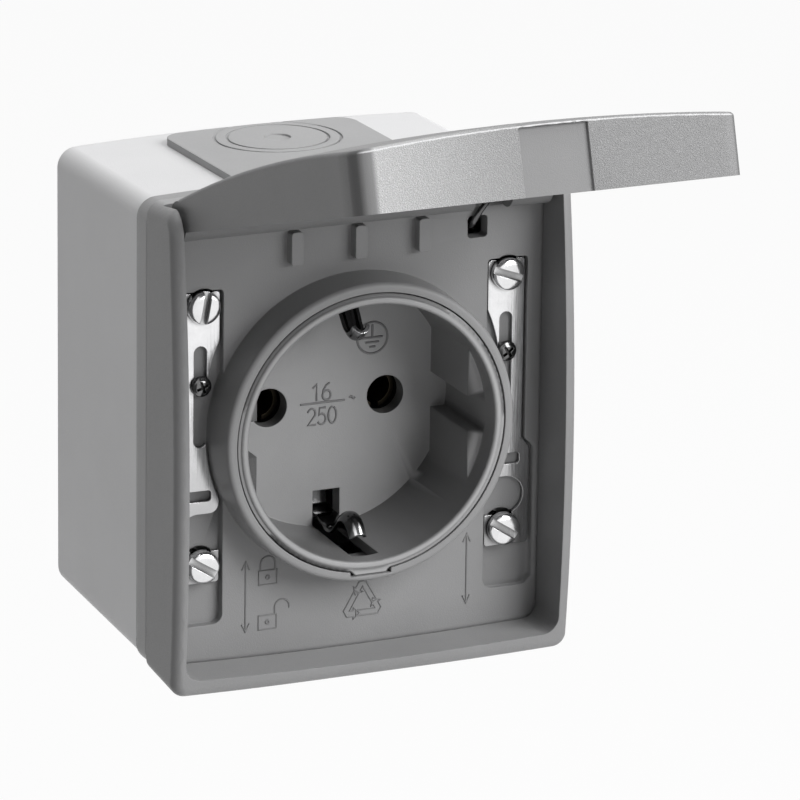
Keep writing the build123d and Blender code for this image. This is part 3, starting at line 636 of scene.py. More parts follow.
@dataclass(frozen=True)
class GrainedLid:
    """Lid plastic: pebble-grained on the free end, nearly smooth elsewhere, with painted light from
    left to right on the free end, a painted shade band beside its corners and a painted highlight along
    its top edge.
    """

    name: str
    smooth: Colour
    finger: Colour
    # Colours of the grained end, left and right: painted light, lit near the left corner and shaded
    # from the middle to the right.
    pebbled_lit_to_shaded: tuple[Colour, Colour]
    # Painted highlight: colour along the rounded edge between the top and the free end.
    crest: Colour
    pit: Colour = (0.12, 0.12, 0.12)
    stain: Colour = (0.1, 0.1, 0.1)
    stain_share: float = 0.1
    # Painted shade: factor by which the side walls darken near the corners of the free end, over the
    # run below.
    corner: float = 0.5
    corner_shade_run: Point2 = (62.0, 67.0)
    cells: float = 6200.0
    tooth: float = 0.5
    patches: float = 70.0
    depth: float = 0.075
    speckle: float = 0.4
    calm: float = 0.16
    roughness: float = 0.5
    rough_spread: Point2 = (0.0, -0.14)
    gloss: float = 0.18
    end_wall: Point2 = (67.2, 67.9)
    left_end: Point2 = (26.2, 26.9)
    right_end: Point2 = (27.8, 28.3)
    recess: Point2 = (0.35, 5.3)
    recess_blur: float = 0.1
    # Painted light: across this span the grained end goes from its lit colour on the left to its shaded
    # one on the right.
    fall: Point2 = (-26.5, -3.0)
    crest_rise: Point2 = (0.2, 0.32)
    crest_drop: Point2 = (0.5, 0.62)
    crest_highlight_share: float = 0.7

    def material(self, groups: SurfaceGroups) -> Material:
        """Builds the material.

        Args:
            groups: The shared shader groups.

        Returns:
            The material.
        """
        surface = Surface.start(self.name)
        net, shader = surface.net, surface.shader
        grain = surface.group(groups.grain, Cells_per_metre=self.cells, Tooth=self.tooth)
        mottle = surface.group(groups.mottle, Scale=self.patches)
        x = net.split(surface.place)["X"]
        end, across = self._beyond(surface, self.end_wall), self._across(net, x)
        share = net.product(end, across, self._beside(net, x))
        # Painted shade: the side walls darken towards the corners of the free end.
        near = net.product(self._beyond(surface, self.corner_shade_run), net.math("SUBTRACT", 1.0, across))
        sleek = net.mix(near, self.smooth, scaled(self.smooth, self.corner))
        sleek = net.mix(end, sleek, self.finger)
        sleek = net.mix(net.product(mottle["Tone"], self.stain_share), sleek, self.stain)
        # Painted light: the grained end runs from a lit colour on the left to a shaded one on the
        # right.
        low, high = self.fall
        rough = net.mix(net.span(x, low * MM, high * MM), *self.pebbled_lit_to_shaded)
        pits = net.math("MULTIPLY", net.math("SUBTRACT", 1.0, grain["Tone"]), 2.0, clamp=True)
        rough = net.mix(net.product(pits, self.speckle), rough, self.pit)
        tone = net.mix(share, sleek, rough)
        # Painted highlight on the rounded edge between the top and the free end.
        tone = net.mix(net.product(self._crest_highlight_mask(surface), end, self.crest_highlight_share), tone, self.crest)
        net.join(tone, shader.inputs["Base Color"])
        surface.roughen(grain["Tone"], self.roughness, self.rough_spread)
        shader.inputs["Specular IOR Level"].default_value = self.gloss
        raised = net.math("MAXIMUM", share, self.calm)
        surface.relieve(net.product(grain["Height"], raised), self.depth)
        return surface.material

    @staticmethod
    def _beyond(surface: Surface, distances: Point2) -> NodeSocket:
        """Rises from 0 to 1 between two distances from the hinge, in millimetres."""
        run = surface.net.vector("DOT_PRODUCT", surface.place, tuple(LID_RUN))
        low, high = (LID_HINGE.dot(LID_RUN) + distance * MM for distance in distances)
        return surface.net.span(run, low, high)

    def _across(self, net: Net, x: NodeSocket) -> NodeSocket:
        """Is 1 between the two ends of the free wall and 0 in its corners."""
        left, right = (tuple(edge * MM for edge in pair) for pair in (self.left_end, self.right_end))
        return net.product(net.span(x, -left[1], -left[0]), net.span(x, *right, 1.0, 0.0))

    def _beside(self, net: Net, x: NodeSocket) -> NodeSocket:
        """Is 0 across the finger recess and 1 beside it."""
        middle, half = self.recess
        off = net.math("ABSOLUTE", net.math("SUBTRACT", x, middle * MM))
        return net.span(off, (half - self.recess_blur) * MM, half * MM)

    def _crest_highlight_mask(self, surface: Surface) -> NodeSocket:
        """Mask of the painted highlight: is 1 on the rounded edge between the top and the free end."""
        net = surface.net
        tilt = net.vector("DOT_PRODUCT", surface.normal, tuple(LID_UP))
        return net.product(net.span(tilt, *self.crest_rise), net.span(tilt, *self.crest_drop, 1.0, 0.0))


@dataclass(frozen=True)
class PlatedMetal:
    """Plated or buffed metal with rubbed lines, with painted shade in its corners, and where asked a
    painted reflection that darkens towards the foot and a painted highlight at its front tips.
    """

    name: str
    colour: Colour
    roughness: float = 0.16
    rough_spread: Point2 = (-0.04, 0.08)
    lines: float = 0.0025
    spots: Colour = (0.25, 0.25, 0.25)
    spots_share: float = 0.12
    edge: float = 0.12
    # Painted shade: reach in millimetres of the occlusion that darkens the colour in corners, or 0 for
    # none.
    corner: float = 2.2
    corner_shade_span: Point2 = (0.35, 0.95)
    corner_shade_share: float = 0.92
    corner_shade_colour: Colour = (0.015, 0.015, 0.015)
    # Painted reflection: colour that the metal turns to towards its foot, or None.
    dark_foot_reflection: Colour | None = None
    dark_foot_span: Point2 = (-16.0, 6.0)
    # Painted highlight: bright colour towards the front tips, or None.
    tip_highlight: Colour | None = None
    tip_highlight_from: Point2 = (44.7, 45.5)

    def material(self, groups: SurfaceGroups) -> Material:
        """Builds the material.

        Args:
            groups: The shared shader groups.

        Returns:
            The material.
        """
        surface = Surface.start(self.name)
        net, shader = surface.net, surface.shader
        scuffs = surface.group(groups.scuffs)
        tone = net.mix(net.product(scuffs["Cloud"], self.spots_share), self.colour, self.spots)
        # Painted reflection: bright above, the colour darkens towards the foot.
        if self.dark_foot_reflection:
            low, high = self.dark_foot_span
            foot = net.span(net.split(surface.place)["Z"], low * MM, high * MM, 1.0, 0.0)
            tone = net.mix(foot, tone, self.dark_foot_reflection)
        # Painted highlight: the colour turns bright towards the front tips.
        if self.tip_highlight:
            low, high = self.tip_highlight_from
            tip = net.span(net.split(surface.place)["Y"], -high * MM, -low * MM, 1.0, 0.0)
            tone = net.mix(tip, tone, self.tip_highlight)
        # Painted shade: ambient occlusion darkens the colour in corners and crevices.
        if self.corner:
            corner_occlusion = net.add("ShaderNodeAmbientOcclusion", samples=8)
            corner_occlusion.inputs["Distance"].default_value = self.corner * MM
            closed = net.span(corner_occlusion.outputs["AO"], *self.corner_shade_span, 1.0, 0.0)
            tone = net.mix(net.product(closed, self.corner_shade_share), tone, self.corner_shade_colour)
        net.join(tone, shader.inputs["Base Color"])
        surface.roughen(scuffs["Lines"], self.roughness, self.rough_spread)
        shader.inputs["Metallic"].default_value = 1.0
        surface.relieve(scuffs["Lines"], self.lines, self.edge)
        return surface.material


@dataclass(frozen=True)
class SoftRubber:
    """Soft, slightly dusty elastomer."""

    name: str
    colour: Colour
    shadow: float = 0.94
    patches: float = 90.0
    roughness: float = 0.62
    rough_spread: Point2 = (-0.05, 0.06)
    dust: float = 0.08
    gloss: float = 0.35
    depth: float = 0.006
    edge: float = 0.25

    def material(self, groups: SurfaceGroups) -> Material:
        """Builds the material.

        Args:
            groups: The shared shader groups.

        Returns:
            The material.
        """
        surface = Surface.start(self.name)
        net, shader = surface.net, surface.shader
        mottle = surface.group(groups.mottle, Scale=self.patches)
        tone = net.mix(mottle["Tone"], scaled(self.colour, self.shadow), self.colour)
        net.join(tone, shader.inputs["Base Color"])
        surface.roughen(mottle["Fine"], self.roughness, self.rough_spread)
        shader.inputs["Sheen Weight"].default_value = self.dust
        shader.inputs["Specular IOR Level"].default_value = self.gloss
        surface.relieve(mottle["Fine"], self.depth, self.edge)
        return surface.material


# Studio ---------------------------------------------------------------


@dataclass(frozen=True)
class PhotoView:
    """Camera that stands where the photograph's camera stood."""

    turn: float = 24.004
    rise: float = 17.422
    roll: float = 0.768
    distance: float = 1.0475
    focal_pixels: float = 6907.27
    image_pixels: float = 800.0
    target: Point3 = (0.015491, -0.025, -0.003147)
    sensor: float = 36.0
    clip: Point2 = (0.05, 20.0)

    def make(self) -> Object:
        """Builds the camera and makes it the scene's own.

        Returns:
            The camera.
        """
        data = bpy.data.cameras.new("camera")
        camera = bpy.data.objects.new("camera", data)
        bpy.context.scene.collection.objects.link(camera)
        turn, rise, roll = (math.radians(v) for v in (self.turn, self.rise, self.roll))
        level = math.cos(rise)
        back = Vector((-math.sin(turn) * level, -math.cos(turn) * level, math.sin(rise)))
        right = Vector((math.cos(turn), -math.sin(turn), 0.0))
        up = back.cross(right)
        rolled_right = right * math.cos(roll) + up * math.sin(roll)
        rolled_up = up * math.cos(roll) - right * math.sin(roll)
        axes = Matrix((rolled_right, rolled_up, back)).transposed().to_4x4()
        stand = Vector(self.target) + back * self.distance
        camera.matrix_world = Matrix.Translation(stand) @ axes
        data.sensor_width = self.sensor
        data.lens = self.sensor * self.focal_pixels / self.image_pixels
        half_pixel = 0.5 / self.image_pixels
        data.shift_x, data.shift_y = -half_pixel, half_pixel
        data.clip_start, data.clip_end = self.clip
        bpy.context.scene.camera = camera
        return camera


@dataclass(frozen=True)
class Softbox:
    """A rectangular lamp aimed at the object."""

    name: str
    place: Point3
    size: Point2
    power: float
    aim: Point3 = (0.0, -0.03, 0.0)

    def make(self) -> None:
        """Builds the lamp."""
        data = bpy.data.lights.new(self.name, "AREA")
        data.shape = "RECTANGLE"
        data.size, data.size_y = self.size
        data.energy = self.power
        lamp = bpy.data.objects.new(self.name, data)
        bpy.context.scene.collection.objects.link(lamp)
        stand = Vector(self.place)
        turn = (Vector(self.aim) - stand).to_track_quat("-Z", "Y")
        lamp.matrix_world = Matrix.Translation(stand) @ turn.to_matrix().to_4x4()


@dataclass
class Studio:
    """Pale floor, pale world and soft lamps."""

    floor_height: float = -0.11
    floor_size: float = 12.0
    floor_grey: float = 0.62
    floor_roughness: float = 0.9
    floor_glow: float = 0.93
    world_level: float = 0.12
    lamps: tuple[Softbox, ...] = (
        Softbox("lamp key", (0.58, -0.93, 0.62), (0.9, 0.9), 17.0),
        Softbox("lamp over", (-0.05, 0.0, 0.9), (0.9, 0.9), 5.9),
    )

    def build(self) -> None:
        """Builds the floor, the world and the lamps."""
        bm = bmesh.new()
        bmesh.ops.create_grid(bm, x_segments=1, y_segments=1, size=self.floor_size / 2)
        bmesh.ops.translate(bm, verts=bm.verts, vec=(0.0, 0.0, self.floor_height))
        floor = object_from("floor", bm)
        floor.data.materials.append(self._floor_material())
        for lamp in self.lamps:
            lamp.make()
        self._world()

    @staticmethod
    def _seen(net: Net) -> NodeSocket:
        """Is 1 for rays that come from the camera, a mirror or glass."""
        path = net.add("ShaderNodeLightPath")
        plain = net.math("ADD", path.outputs["Is Camera Ray"], path.outputs["Is Glossy Ray"])
        return net.math("ADD", plain, path.outputs["Is Transmission Ray"], clamp=True)

    def _floor_material(self) -> Material:
        """Pale floor that shows white and still keeps a soft shadow.

        Returns:
            The material.
        """
        surface = Surface.start("pale floor")
        net, shader = surface.net, surface.shader
        shader.inputs["Base Color"].default_value = (*[self.floor_grey] * 3, 1.0)
        shader.inputs["Roughness"].default_value = self.floor_roughness
        glow = net.add("ShaderNodeEmission")
        both = net.add("ShaderNodeMixShader")
        net.join(net.product(self._seen(net), self.floor_glow), both.inputs[0])
        net.join(shader.outputs[0], both.inputs[1])
        net.join(glow.outputs[0], both.inputs[2])
        leave = net.tree.nodes["Material Output"]
        net.join(both.outputs[0], leave.inputs["Surface"])
        return surface.material

    def _world(self) -> None:
        """Grey world that shows white to the camera and in mirrors."""
        world = bpy.data.worlds.new("studio")
        world.use_nodes = True
        bpy.context.scene.world = world
        net = Net(world.node_tree)
        sky = world.node_tree.nodes["Background"]
        sky.inputs["Color"].default_value = (1.0, 1.0, 1.0, 1.0)
        shown = net.product(self._seen(net), 1.0 - self.world_level)
        net.join(net.math("ADD", shown, self.world_level), sky.inputs["Strength"])


# Geometry node trees --------------------------------------------------


def shape_tree(name: str, inputs: dict[str, Sockets]) -> tuple[Tree, Net, dict, NodeSocket]:
    """Starts a geometry tree with a geometry input, named inputs and a geometry output.

    Args:
        name: Name of the tree.
        inputs: Socket type of each named input.

    Returns:
        The tree, its net, its inputs inside and the output inside.
    """
    tree = bpy.data.node_groups.new(name, "GeometryNodeTree")
    for key, kind in {"Geometry": Sockets.SHAPE, **inputs}.items():
        tree.interface.new_socket(key, in_out="INPUT", socket_type=kind.value)
    tree.interface.new_socket("Geometry", in_out="OUTPUT", socket_type=Sockets.SHAPE.value)
    net = Net(tree)
    entry, leave = net.add("NodeGroupInput"), net.add("NodeGroupOutput")
    return tree, net, entry.outputs, leave.inputs[0]


class ShapeTrees:
    """Trees that sweep a bead along lines and that set copies on points."""

    def __init__(self) -> None:
        """Builds both trees once."""
        self.bead = self._bead()
        self.copies = self._copies()

    @staticmethod
    def _finish(net: Net, shape: NodeSocket, given: dict, leave: NodeSocket) -> None:
        """Realizes the shape, gives it its finish and joins it to the output.

        Args:
            net: Net of the tree.
            shape: Geometry to finish.
            given: Inputs inside the tree.
            leave: Output inside the tree.
        """
        real = net.add("GeometryNodeRealizeInstances")
        dress = net.add("GeometryNodeSetMaterial")
        net.join(shape, real.inputs[0])
        net.join(real.outputs[0], dress.inputs["Geometry"])
        net.join(given["Finish"], dress.inputs["Material"])
        net.join(dress.outputs[0], leave)

    def _bead(self) -> Tree:
        """Round bead or wire along every line of a mesh of edges.

        Returns:
            The tree.
        """
        kinds = {"Radius": Sockets.VALUE, "Sides": Sockets.WHOLE, "Finish": Sockets.MATERIAL}
        tree, net, given, leave = shape_tree("bead along lines", kinds)
        line = net.add("GeometryNodeMeshToCurve")
        ring = net.add("GeometryNodeCurvePrimitiveCircle")
        sweep = net.add("GeometryNodeCurveToMesh")
        net.join(given["Geometry"], line.inputs["Mesh"])
        net.join(given["Radius"], ring.inputs["Radius"])
        net.join(given["Sides"], ring.inputs["Resolution"])
        net.join(line.outputs[0], sweep.inputs["Curve"])
        net.join(ring.outputs[0], sweep.inputs["Profile Curve"])
        sweep.inputs["Fill Caps"].default_value = True
        self._finish(net, sweep.outputs[0], given, leave)
        return tree

    def _copies(self) -> Tree:
        """Copies of one piece on the points of a mesh, each turned by its attribute.

        Returns:
            The tree.
        """
        kinds = {"Piece": Sockets.OBJECT, "Finish": Sockets.MATERIAL}
        tree, net, given, leave = shape_tree("copies on points", kinds)
        piece = net.add("GeometryNodeObjectInfo", transform_space="ORIGINAL")
        turn = net.add("GeometryNodeInputNamedAttribute", data_type="FLOAT")
        turn.inputs["Name"].default_value = "turn"
        angles = net.add("ShaderNodeCombineXYZ")
        rotation = net.add("FunctionNodeEulerToRotation")
        place = net.add("GeometryNodeInstanceOnPoints")
        net.join(given["Piece"], piece.inputs["Object"])
        net.join(turn.outputs["Attribute"], angles.inputs["Y"])
        net.join(angles.outputs[0], rotation.inputs[0])
        net.join(given["Geometry"], place.inputs["Points"])
        net.join(piece.outputs["Geometry"], place.inputs["Instance"])
        net.join(rotation.outputs[0], place.inputs["Rotation"])
        self._finish(net, place.outputs[0], given, leave)
        return tree


def grow(obj: Object, tree: Tree, values: dict[str, object]) -> Object:
    """Runs a geometry tree on an object and keeps the result as a plain mesh.

    Args:
        obj: Object that carries the points or lines.
        tree: The tree to run.
        values: Values of its inputs, by name.

    Returns:
        The same object with its new mesh.
    """
    modifier = obj.modifiers.new(tree.name, "NODES")
    modifier.node_group = tree
    for item in tree.interface.items_tree:
        if item.item_type == "SOCKET" and item.in_out == "INPUT" and item.name in values:
            modifier[item.identifier] = values[item.name]
    apply_modifiers(obj)
    return obj


def lines_object(name: str, paths: Iterable[Path]) -> Object:
    """Object of plain edges that follows several paths.

    Args:
        name: Name of the object.
        paths: Points in millimetres of each path, and whether it closes.

    Returns:
        The object.
    """
    bm = bmesh.new()
    for points, closed in paths:
        verts = [bm.verts.new((x * MM, y * MM, z * MM)) for x, y, z in points]
        for first, second in zip(verts, verts[1:]):
            bm.edges.new((first, second))
        if closed:
            bm.edges.new((verts[-1], verts[0]))
    return object_from(name, bm)


def arc(center: Point2, radii: Point2, start: float, end: float, steps: int = 16) -> list[Point2]:
    """Points on part of an ellipse.

    Args:
        center: Its centre.
        radii: Its two radii.
        start: First angle in degrees.
        end: Last angle in degrees.
        steps: Runs between the two.

    Returns:
        The points.
    """
    angles = [math.radians(start + (end - start) * i / steps) for i in range(steps + 1)]
    return [(center[0] + radii[0] * math.cos(a), center[1] + radii[1] * math.sin(a)) for a in angles]


def cut_away(obj: Object, cutter: Object) -> None:
    """Cuts one solid out of another and removes the cutter.

    Args:
        obj: Solid to keep.
        cutter: Solid to cut out.
    """
    modifier = obj.modifiers.new("cut", "BOOLEAN")
    modifier.operation = "DIFFERENCE"
    modifier.solver = "EXACT"
    modifier.object = cutter
    apply_modifiers(obj)
    bpy.data.objects.remove(cutter)


def block(name: str, low: Point3, high: Point3) -> Object:
    """Plain block used as a cutter.

    Args:
        name: Name of the object.
        low: Lowest corner in millimetres.
        high: Highest corner in millimetres.

    Returns:
        The object.
    """
    bm = bmesh.new()
    bmesh.ops.create_cube(bm, size=1.0)
    for vert in bm.verts:
        vert.co = Vector([(a if c < 0 else b) * MM for a, b, c in zip(low, high, vert.co)])
    return object_from(name, bm)


# Bodies and finishes of the record ------------------------------------


class Body(Enum):
    """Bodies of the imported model."""

    HOUSING = "housing"
    LID = "lid"
    LEFT = "left_slider"
    RIGHT = "right_slider"


class Slot(Enum):
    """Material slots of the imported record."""

    SHELL = "grey_shell"
    LID = "grey_lid"
    INSERT = "grey_insert"
    SOFT = "soft_grey"
    STEEL = "plated_steel"
    SPRING = "spring_steel"
    BRASS = "plated_brass"


class Finishes:
    """All materials of the socket, built once."""

    def __init__(self) -> None:
        """Builds the shared groups and every material."""
        groups = SurfaceGroups()
        self.box = MouldedPlastic("light box plastic", grey(0.68), mottle=0.03).material(groups)
        self.cover = MouldedPlastic("grey cover plastic", grey(0.27), roughness=0.4, gloss=0.3,
                                    rim=1.0).material(groups)
        # Painted light and shade by facing: the frame and the insert darken on walls that turn across;
        # the frame lightens on faces that turn up, the insert darkens on them.
        self.frame = MouldedPlastic("grey frame plastic", grey(0.27), roughness=0.4, gloss=0.16,
                                    facing_light_and_shade=(0.3, -0.2)).material(groups)
        self.insert = MouldedPlastic("grey insert plastic", grey(0.36), roughness=0.34, gloss=0.4,
                                     cells=7000.0, facing_light_and_shade=(0.42, 0.42)).material(groups)
        # Painted shade: the raised marks take a darker colour than the plastic they are moulded on.
        self.mark = MouldedPlastic("grey cover relief with painted shade", grey(0.22), edge=0.0).material(groups)
        self.insert_mark = MouldedPlastic("grey insert relief with painted shade", grey(0.23), roughness=0.36,
                                          edge=0.0).material(groups)
        # The lid's grained end takes painted light, lit on the left and shaded on the right, a painted
        # shade band beside its corners and a painted highlight along its top edge.
        self.lid = GrainedLid("grained lid plastic", grey(0.21), grey(0.24),
                              (grey(0.72), grey(0.38)), grey(0.8)).material(groups)
        self.entry = SoftRubber("soft entry rubber", grey(0.35)).material(groups)
        self.seal = SoftRubber("black seal rubber", grey(0.03)).material(groups)
        # Every metal but the clip takes painted shade in its corners.
        self.steel = PlatedMetal("bright plated steel", grey(0.86)).material(groups)
        # The slider sheets take a painted reflection that darkens towards their foot.
        self.sheet = PlatedMetal("plated slider sheet", grey(0.9), corner=0.8,
                                 dark_foot_reflection=grey(0.42)).material(groups)
        self.dark_steel = PlatedMetal("dark guide steel", grey(0.17), roughness=0.14).material(groups)
        self.spring = PlatedMetal("spring wire", grey(0.12), roughness=0.2).material(groups)
        # The earth clips take a painted highlight at their front tips.
        self.clip = PlatedMetal("dark clip strip", grey(0.13), roughness=0.12, corner=0.0,
                                tip_highlight=grey(0.9)).material(groups)
        self.brass = PlatedMetal("bare brass", (0.09, 0.07, 0.04), roughness=0.4).material(groups)
        self.carrier = MouldedPlastic("black carrier plastic", grey(0.02),
                                      roughness=0.5).material(groups)


def settle(obj: Object, body: Body, slot: Slot, *nodes: str) -> Object:
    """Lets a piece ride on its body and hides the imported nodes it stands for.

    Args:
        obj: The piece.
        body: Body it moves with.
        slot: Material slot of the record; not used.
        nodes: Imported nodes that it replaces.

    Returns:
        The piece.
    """
    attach(obj, body.value)
    if nodes:
        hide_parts(*nodes)
    LOG.info("piece %s: %d faces on %s", obj.name, len(obj.data.polygons), body.value)
    return obj


def wear(obj: Object, material: Material) -> None:
    """Gives an object one material and nothing else."""
    obj.data.materials.clear()
    obj.data.materials.append(material)


@dataclass
class Assembly:
    """A group of pieces that is built and dressed together."""

    frame: dict
    finishes: Finishes
    trees: ShapeTrees

    def restyled(self, node: str, name: str, body: Body, slot: Slot,
                 finish: Material) -> Object:
        """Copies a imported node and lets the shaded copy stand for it.

        Args:
            node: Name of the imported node.
            name: Name of the new piece.
            body: Body it moves with.
            slot: Material slot of the record.
            finish: Its material.

        Returns:
            The piece.
        """
        piece = copy_of_node(self.frame, node, name)
        return self.finished(piece, body, slot, finish, node)

    def finished(self, piece: Object, body: Body, slot: Slot, finish: Material,
                 *nodes: str) -> Object:
        """Shades a piece, gives it its finish and lets it ride.

        Args:
            piece: The piece.
            body: Body it moves with.
            slot: Material slot of the record.
            finish: Its material.
            nodes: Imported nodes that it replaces.

        Returns:
            The piece.
        """
        shade(piece)
        steady_normals(piece)
        wear(piece, finish)
        return settle(piece, body, slot, *nodes)

    def beads(self, name: str, paths: Iterable[Path], radius: float, finish: Material,
              sides: int = 10) -> Object:
        """Sweeps a round bead along paths.

        Args:
            name: Name of the new piece.
            paths: Points in millimetres of each path, and whether it closes.
            radius: Radius of the bead in millimetres.
            finish: Its material.
            sides: Facets round the bead.

        Returns:
            The object, not yet on a body.
        """
        obj = lines_object(name, paths)
        grow(obj, self.trees.bead, {"Radius": radius * MM, "Sides": sides, "Finish": finish})
        shade(obj, 50.0)
        return obj

    def dress_nodes(self, finish: Material, *nodes: str) -> None:
        """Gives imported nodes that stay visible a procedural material.

        Args:
            finish: The material.
            nodes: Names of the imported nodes.
        """
        for node in nodes:
            wear(self.frame["nodes"][node], finish)
            LOG.info("node %s keeps its shape", node)


# The housing ----------------------------------------------------------


@dataclass
class Housing(Assembly):
    """Back box, cable entry, cover, lid frame and what lies hidden behind them."""

    plate_foot: float = 37.7
    plate_half: float = 29.9
    plate_bottom: float = -34.0
    plate_margin: Point2 = (1.0, 1.5)
    plate_growth: float = 0.28

    def build(self) -> None:
        """Builds the shells and dresses the hidden nodes."""
        self.restyled("back_box", "box_shell", Body.HOUSING, Slot.SHELL, self.finishes.box)
        self.restyled("cable_entry", "entry_plug", Body.HOUSING, Slot.SOFT, self.finishes.entry)
        self._cover()
        self.restyled("lid_frame", "lid_surround", Body.HOUSING, Slot.SHELL, self.finishes.frame)
        self.dress_nodes(self.finishes.seal, "box_seal")
        self.dress_nodes(self.finishes.steel, "hinge_pin", "insert_screws", "terminal_screws")
        self.dress_nodes(self.finishes.brass, "terminals", "line_contact", "neutral_contact")
        self.dress_nodes(self.finishes.carrier, "contact_carrier")

    def _cover(self) -> None:
        """Cover whose raised plate reaches the frame and has a soft outer edge."""
        cover = copy_of_node(self.frame, "cover_plate", "cover_body")
        side, foot = self.plate_half - self.plate_margin[0], self.plate_bottom + self.plate_margin[1]
        for vert in cover.data.vertices:
            x, depth, z = vert.co.x / MM, -vert.co.y / MM, vert.co.z / MM
            if depth < self.plate_foot:
                continue
            if abs(x) > side:
                vert.co.x += math.copysign(self.plate_growth * MM, x)
            if z < foot:
                vert.co.z -= self.plate_growth * MM
        self.finished(cover, Body.HOUSING, Slot.SHELL, self.finishes.cover, "cover_plate")


# Raised marks ---------------------------------------------------------


@dataclass
class CoverMarks(Assembly):
    """Double arrows, padlocks and the recycling sign on the cover plate."""

    face: float = 43.4
    line: float = 0.15
    arrow_low: float = -30.1
    arrow_high: float = -19.0
    head: Point2 = (0.6, 1.3)
    left_arrow: float = -17.45
    right_arrow: float = 18.5
    closed_lock: Point2 = (-13.9, -21.9)
    open_lock: Point2 = (-13.9, -28.9)
    lock_size: Point2 = (2.9, 2.2)
    keyhole: float = 0.28
    shackle_share: float = 0.8
    shackle_rise: float = 1.1
    open_gap: float = 0.75
    sign_center: Point2 = (1.5, -27.7)
    sign_size: float = 3.3
    sign_start: float = 0.55
    sign_half: float = 0.13
    sign_bend: float = 0.1
    sign_corner: float = -0.225
    barb_half: float = 0.28
    barb_start: float = 0.42
    barb_end: float = 0.72

    def build(self) -> None:
        """Sweeps all marks as raised beads."""
        flat: list[Outline] = []
        for x in (self.left_arrow, self.right_arrow):
            flat += self._arrow(x)
        flat += self._lock(self.closed_lock, False)
        flat += self._lock(self.open_lock, True)
        self._raise("lock_marks", flat)
        self._raise("recycling_mark", self._sign())

    def _raise(self, name: str, flat: Iterable[Outline]) -> None:
        """Turns flat outlines into beads that stand on the plate.

        Args:
            name: Name of the piece.
            flat: Points across and up in millimetres, and whether each outline closes.
        """
        paths = [([(x, -self.face, z) for x, z in points], closed) for points, closed in flat]
        settle(self.beads(name, paths, self.line, self.finishes.mark), Body.HOUSING, Slot.SHELL)

    def _arrow(self, x: float) -> list[Outline]:
        """Upright arrow with an open head at both ends.

        Args:
            x: Its place across.

        Returns:
            Its outlines.
        """
        wide, tall = self.head
        low, high = self.arrow_low, self.arrow_high
        return [([(x, low), (x, high)], False),
                ([(x - wide, high - tall), (x, high), (x + wide, high - tall)], False),
                ([(x - wide, low + tall), (x, low), (x + wide, low + tall)], False)]

    def _lock(self, center: Point2, opened: bool) -> list[Outline]:
        """Padlock with its keyhole and its shackle.

        Args:
            center: Centre of its body.
            opened: Whether the shackle is swung open.

        Returns:
            Its outlines.
        """
        cx, cz = center
        half, tall = self.lock_size[0] / 2, self.lock_size[1] / 2
        low, high = cz - tall, cz + tall
        body = [(cx - half, low), (cx + half, low), (cx + half, high), (cx - half, high)]
        keyhole = arc((cx, cz), (self.keyhole, self.keyhole), 0, 330, 10)
        bow = self.shackle_share * half
        middle = cx + 2 * bow if opened else cx
        shackle = [(middle + bow, high + self.open_gap if opened else high)]
        shackle += arc((middle, high + self.shackle_rise), (bow, self.shackle_rise), 0, 180, 12)
        shackle += [(middle - bow, high)]
        return [(body, True), (keyhole, True), (shackle, False)]

    def _sign(self) -> list[Outline]:
        """Triangle of three bent arrows, drawn as outlines.

        Returns:
            Its outlines.
        """
        sine, cosine = 0.5, 0.866
        left, right = Vector((-cosine, -sine)), Vector((cosine, -sine))
        along, down = Vector((1.0, 0.0)), Vector((0.0, -1.0))
        rise, out = Vector((-sine, cosine)), Vector((cosine, sine))
        start, neck = left + self.sign_start * along, right + self.barb_start * rise
        half, barb = self.sign_half, self.barb_half
        outer = [start + half * down, right + half * down - self.sign_bend * along,
                 right + half * out + self.sign_bend * rise]
        point = [neck + half * out, neck + barb * out, right + self.barb_end * rise, neck - barb * out]
        inner = [neck - half * out, right + Vector((self.sign_corner, half)), start - half * down]
        outlines = []
        for third in range(3):
            turn = Matrix.Rotation(math.radians(120 * third), 2)
            spots = [Vector(self.sign_center) + self.sign_size * (turn @ corner)
                     for corner in outer + point + inner]
            outlines.append(([(spot.x, spot.y) for spot in spots], True))
        return outlines


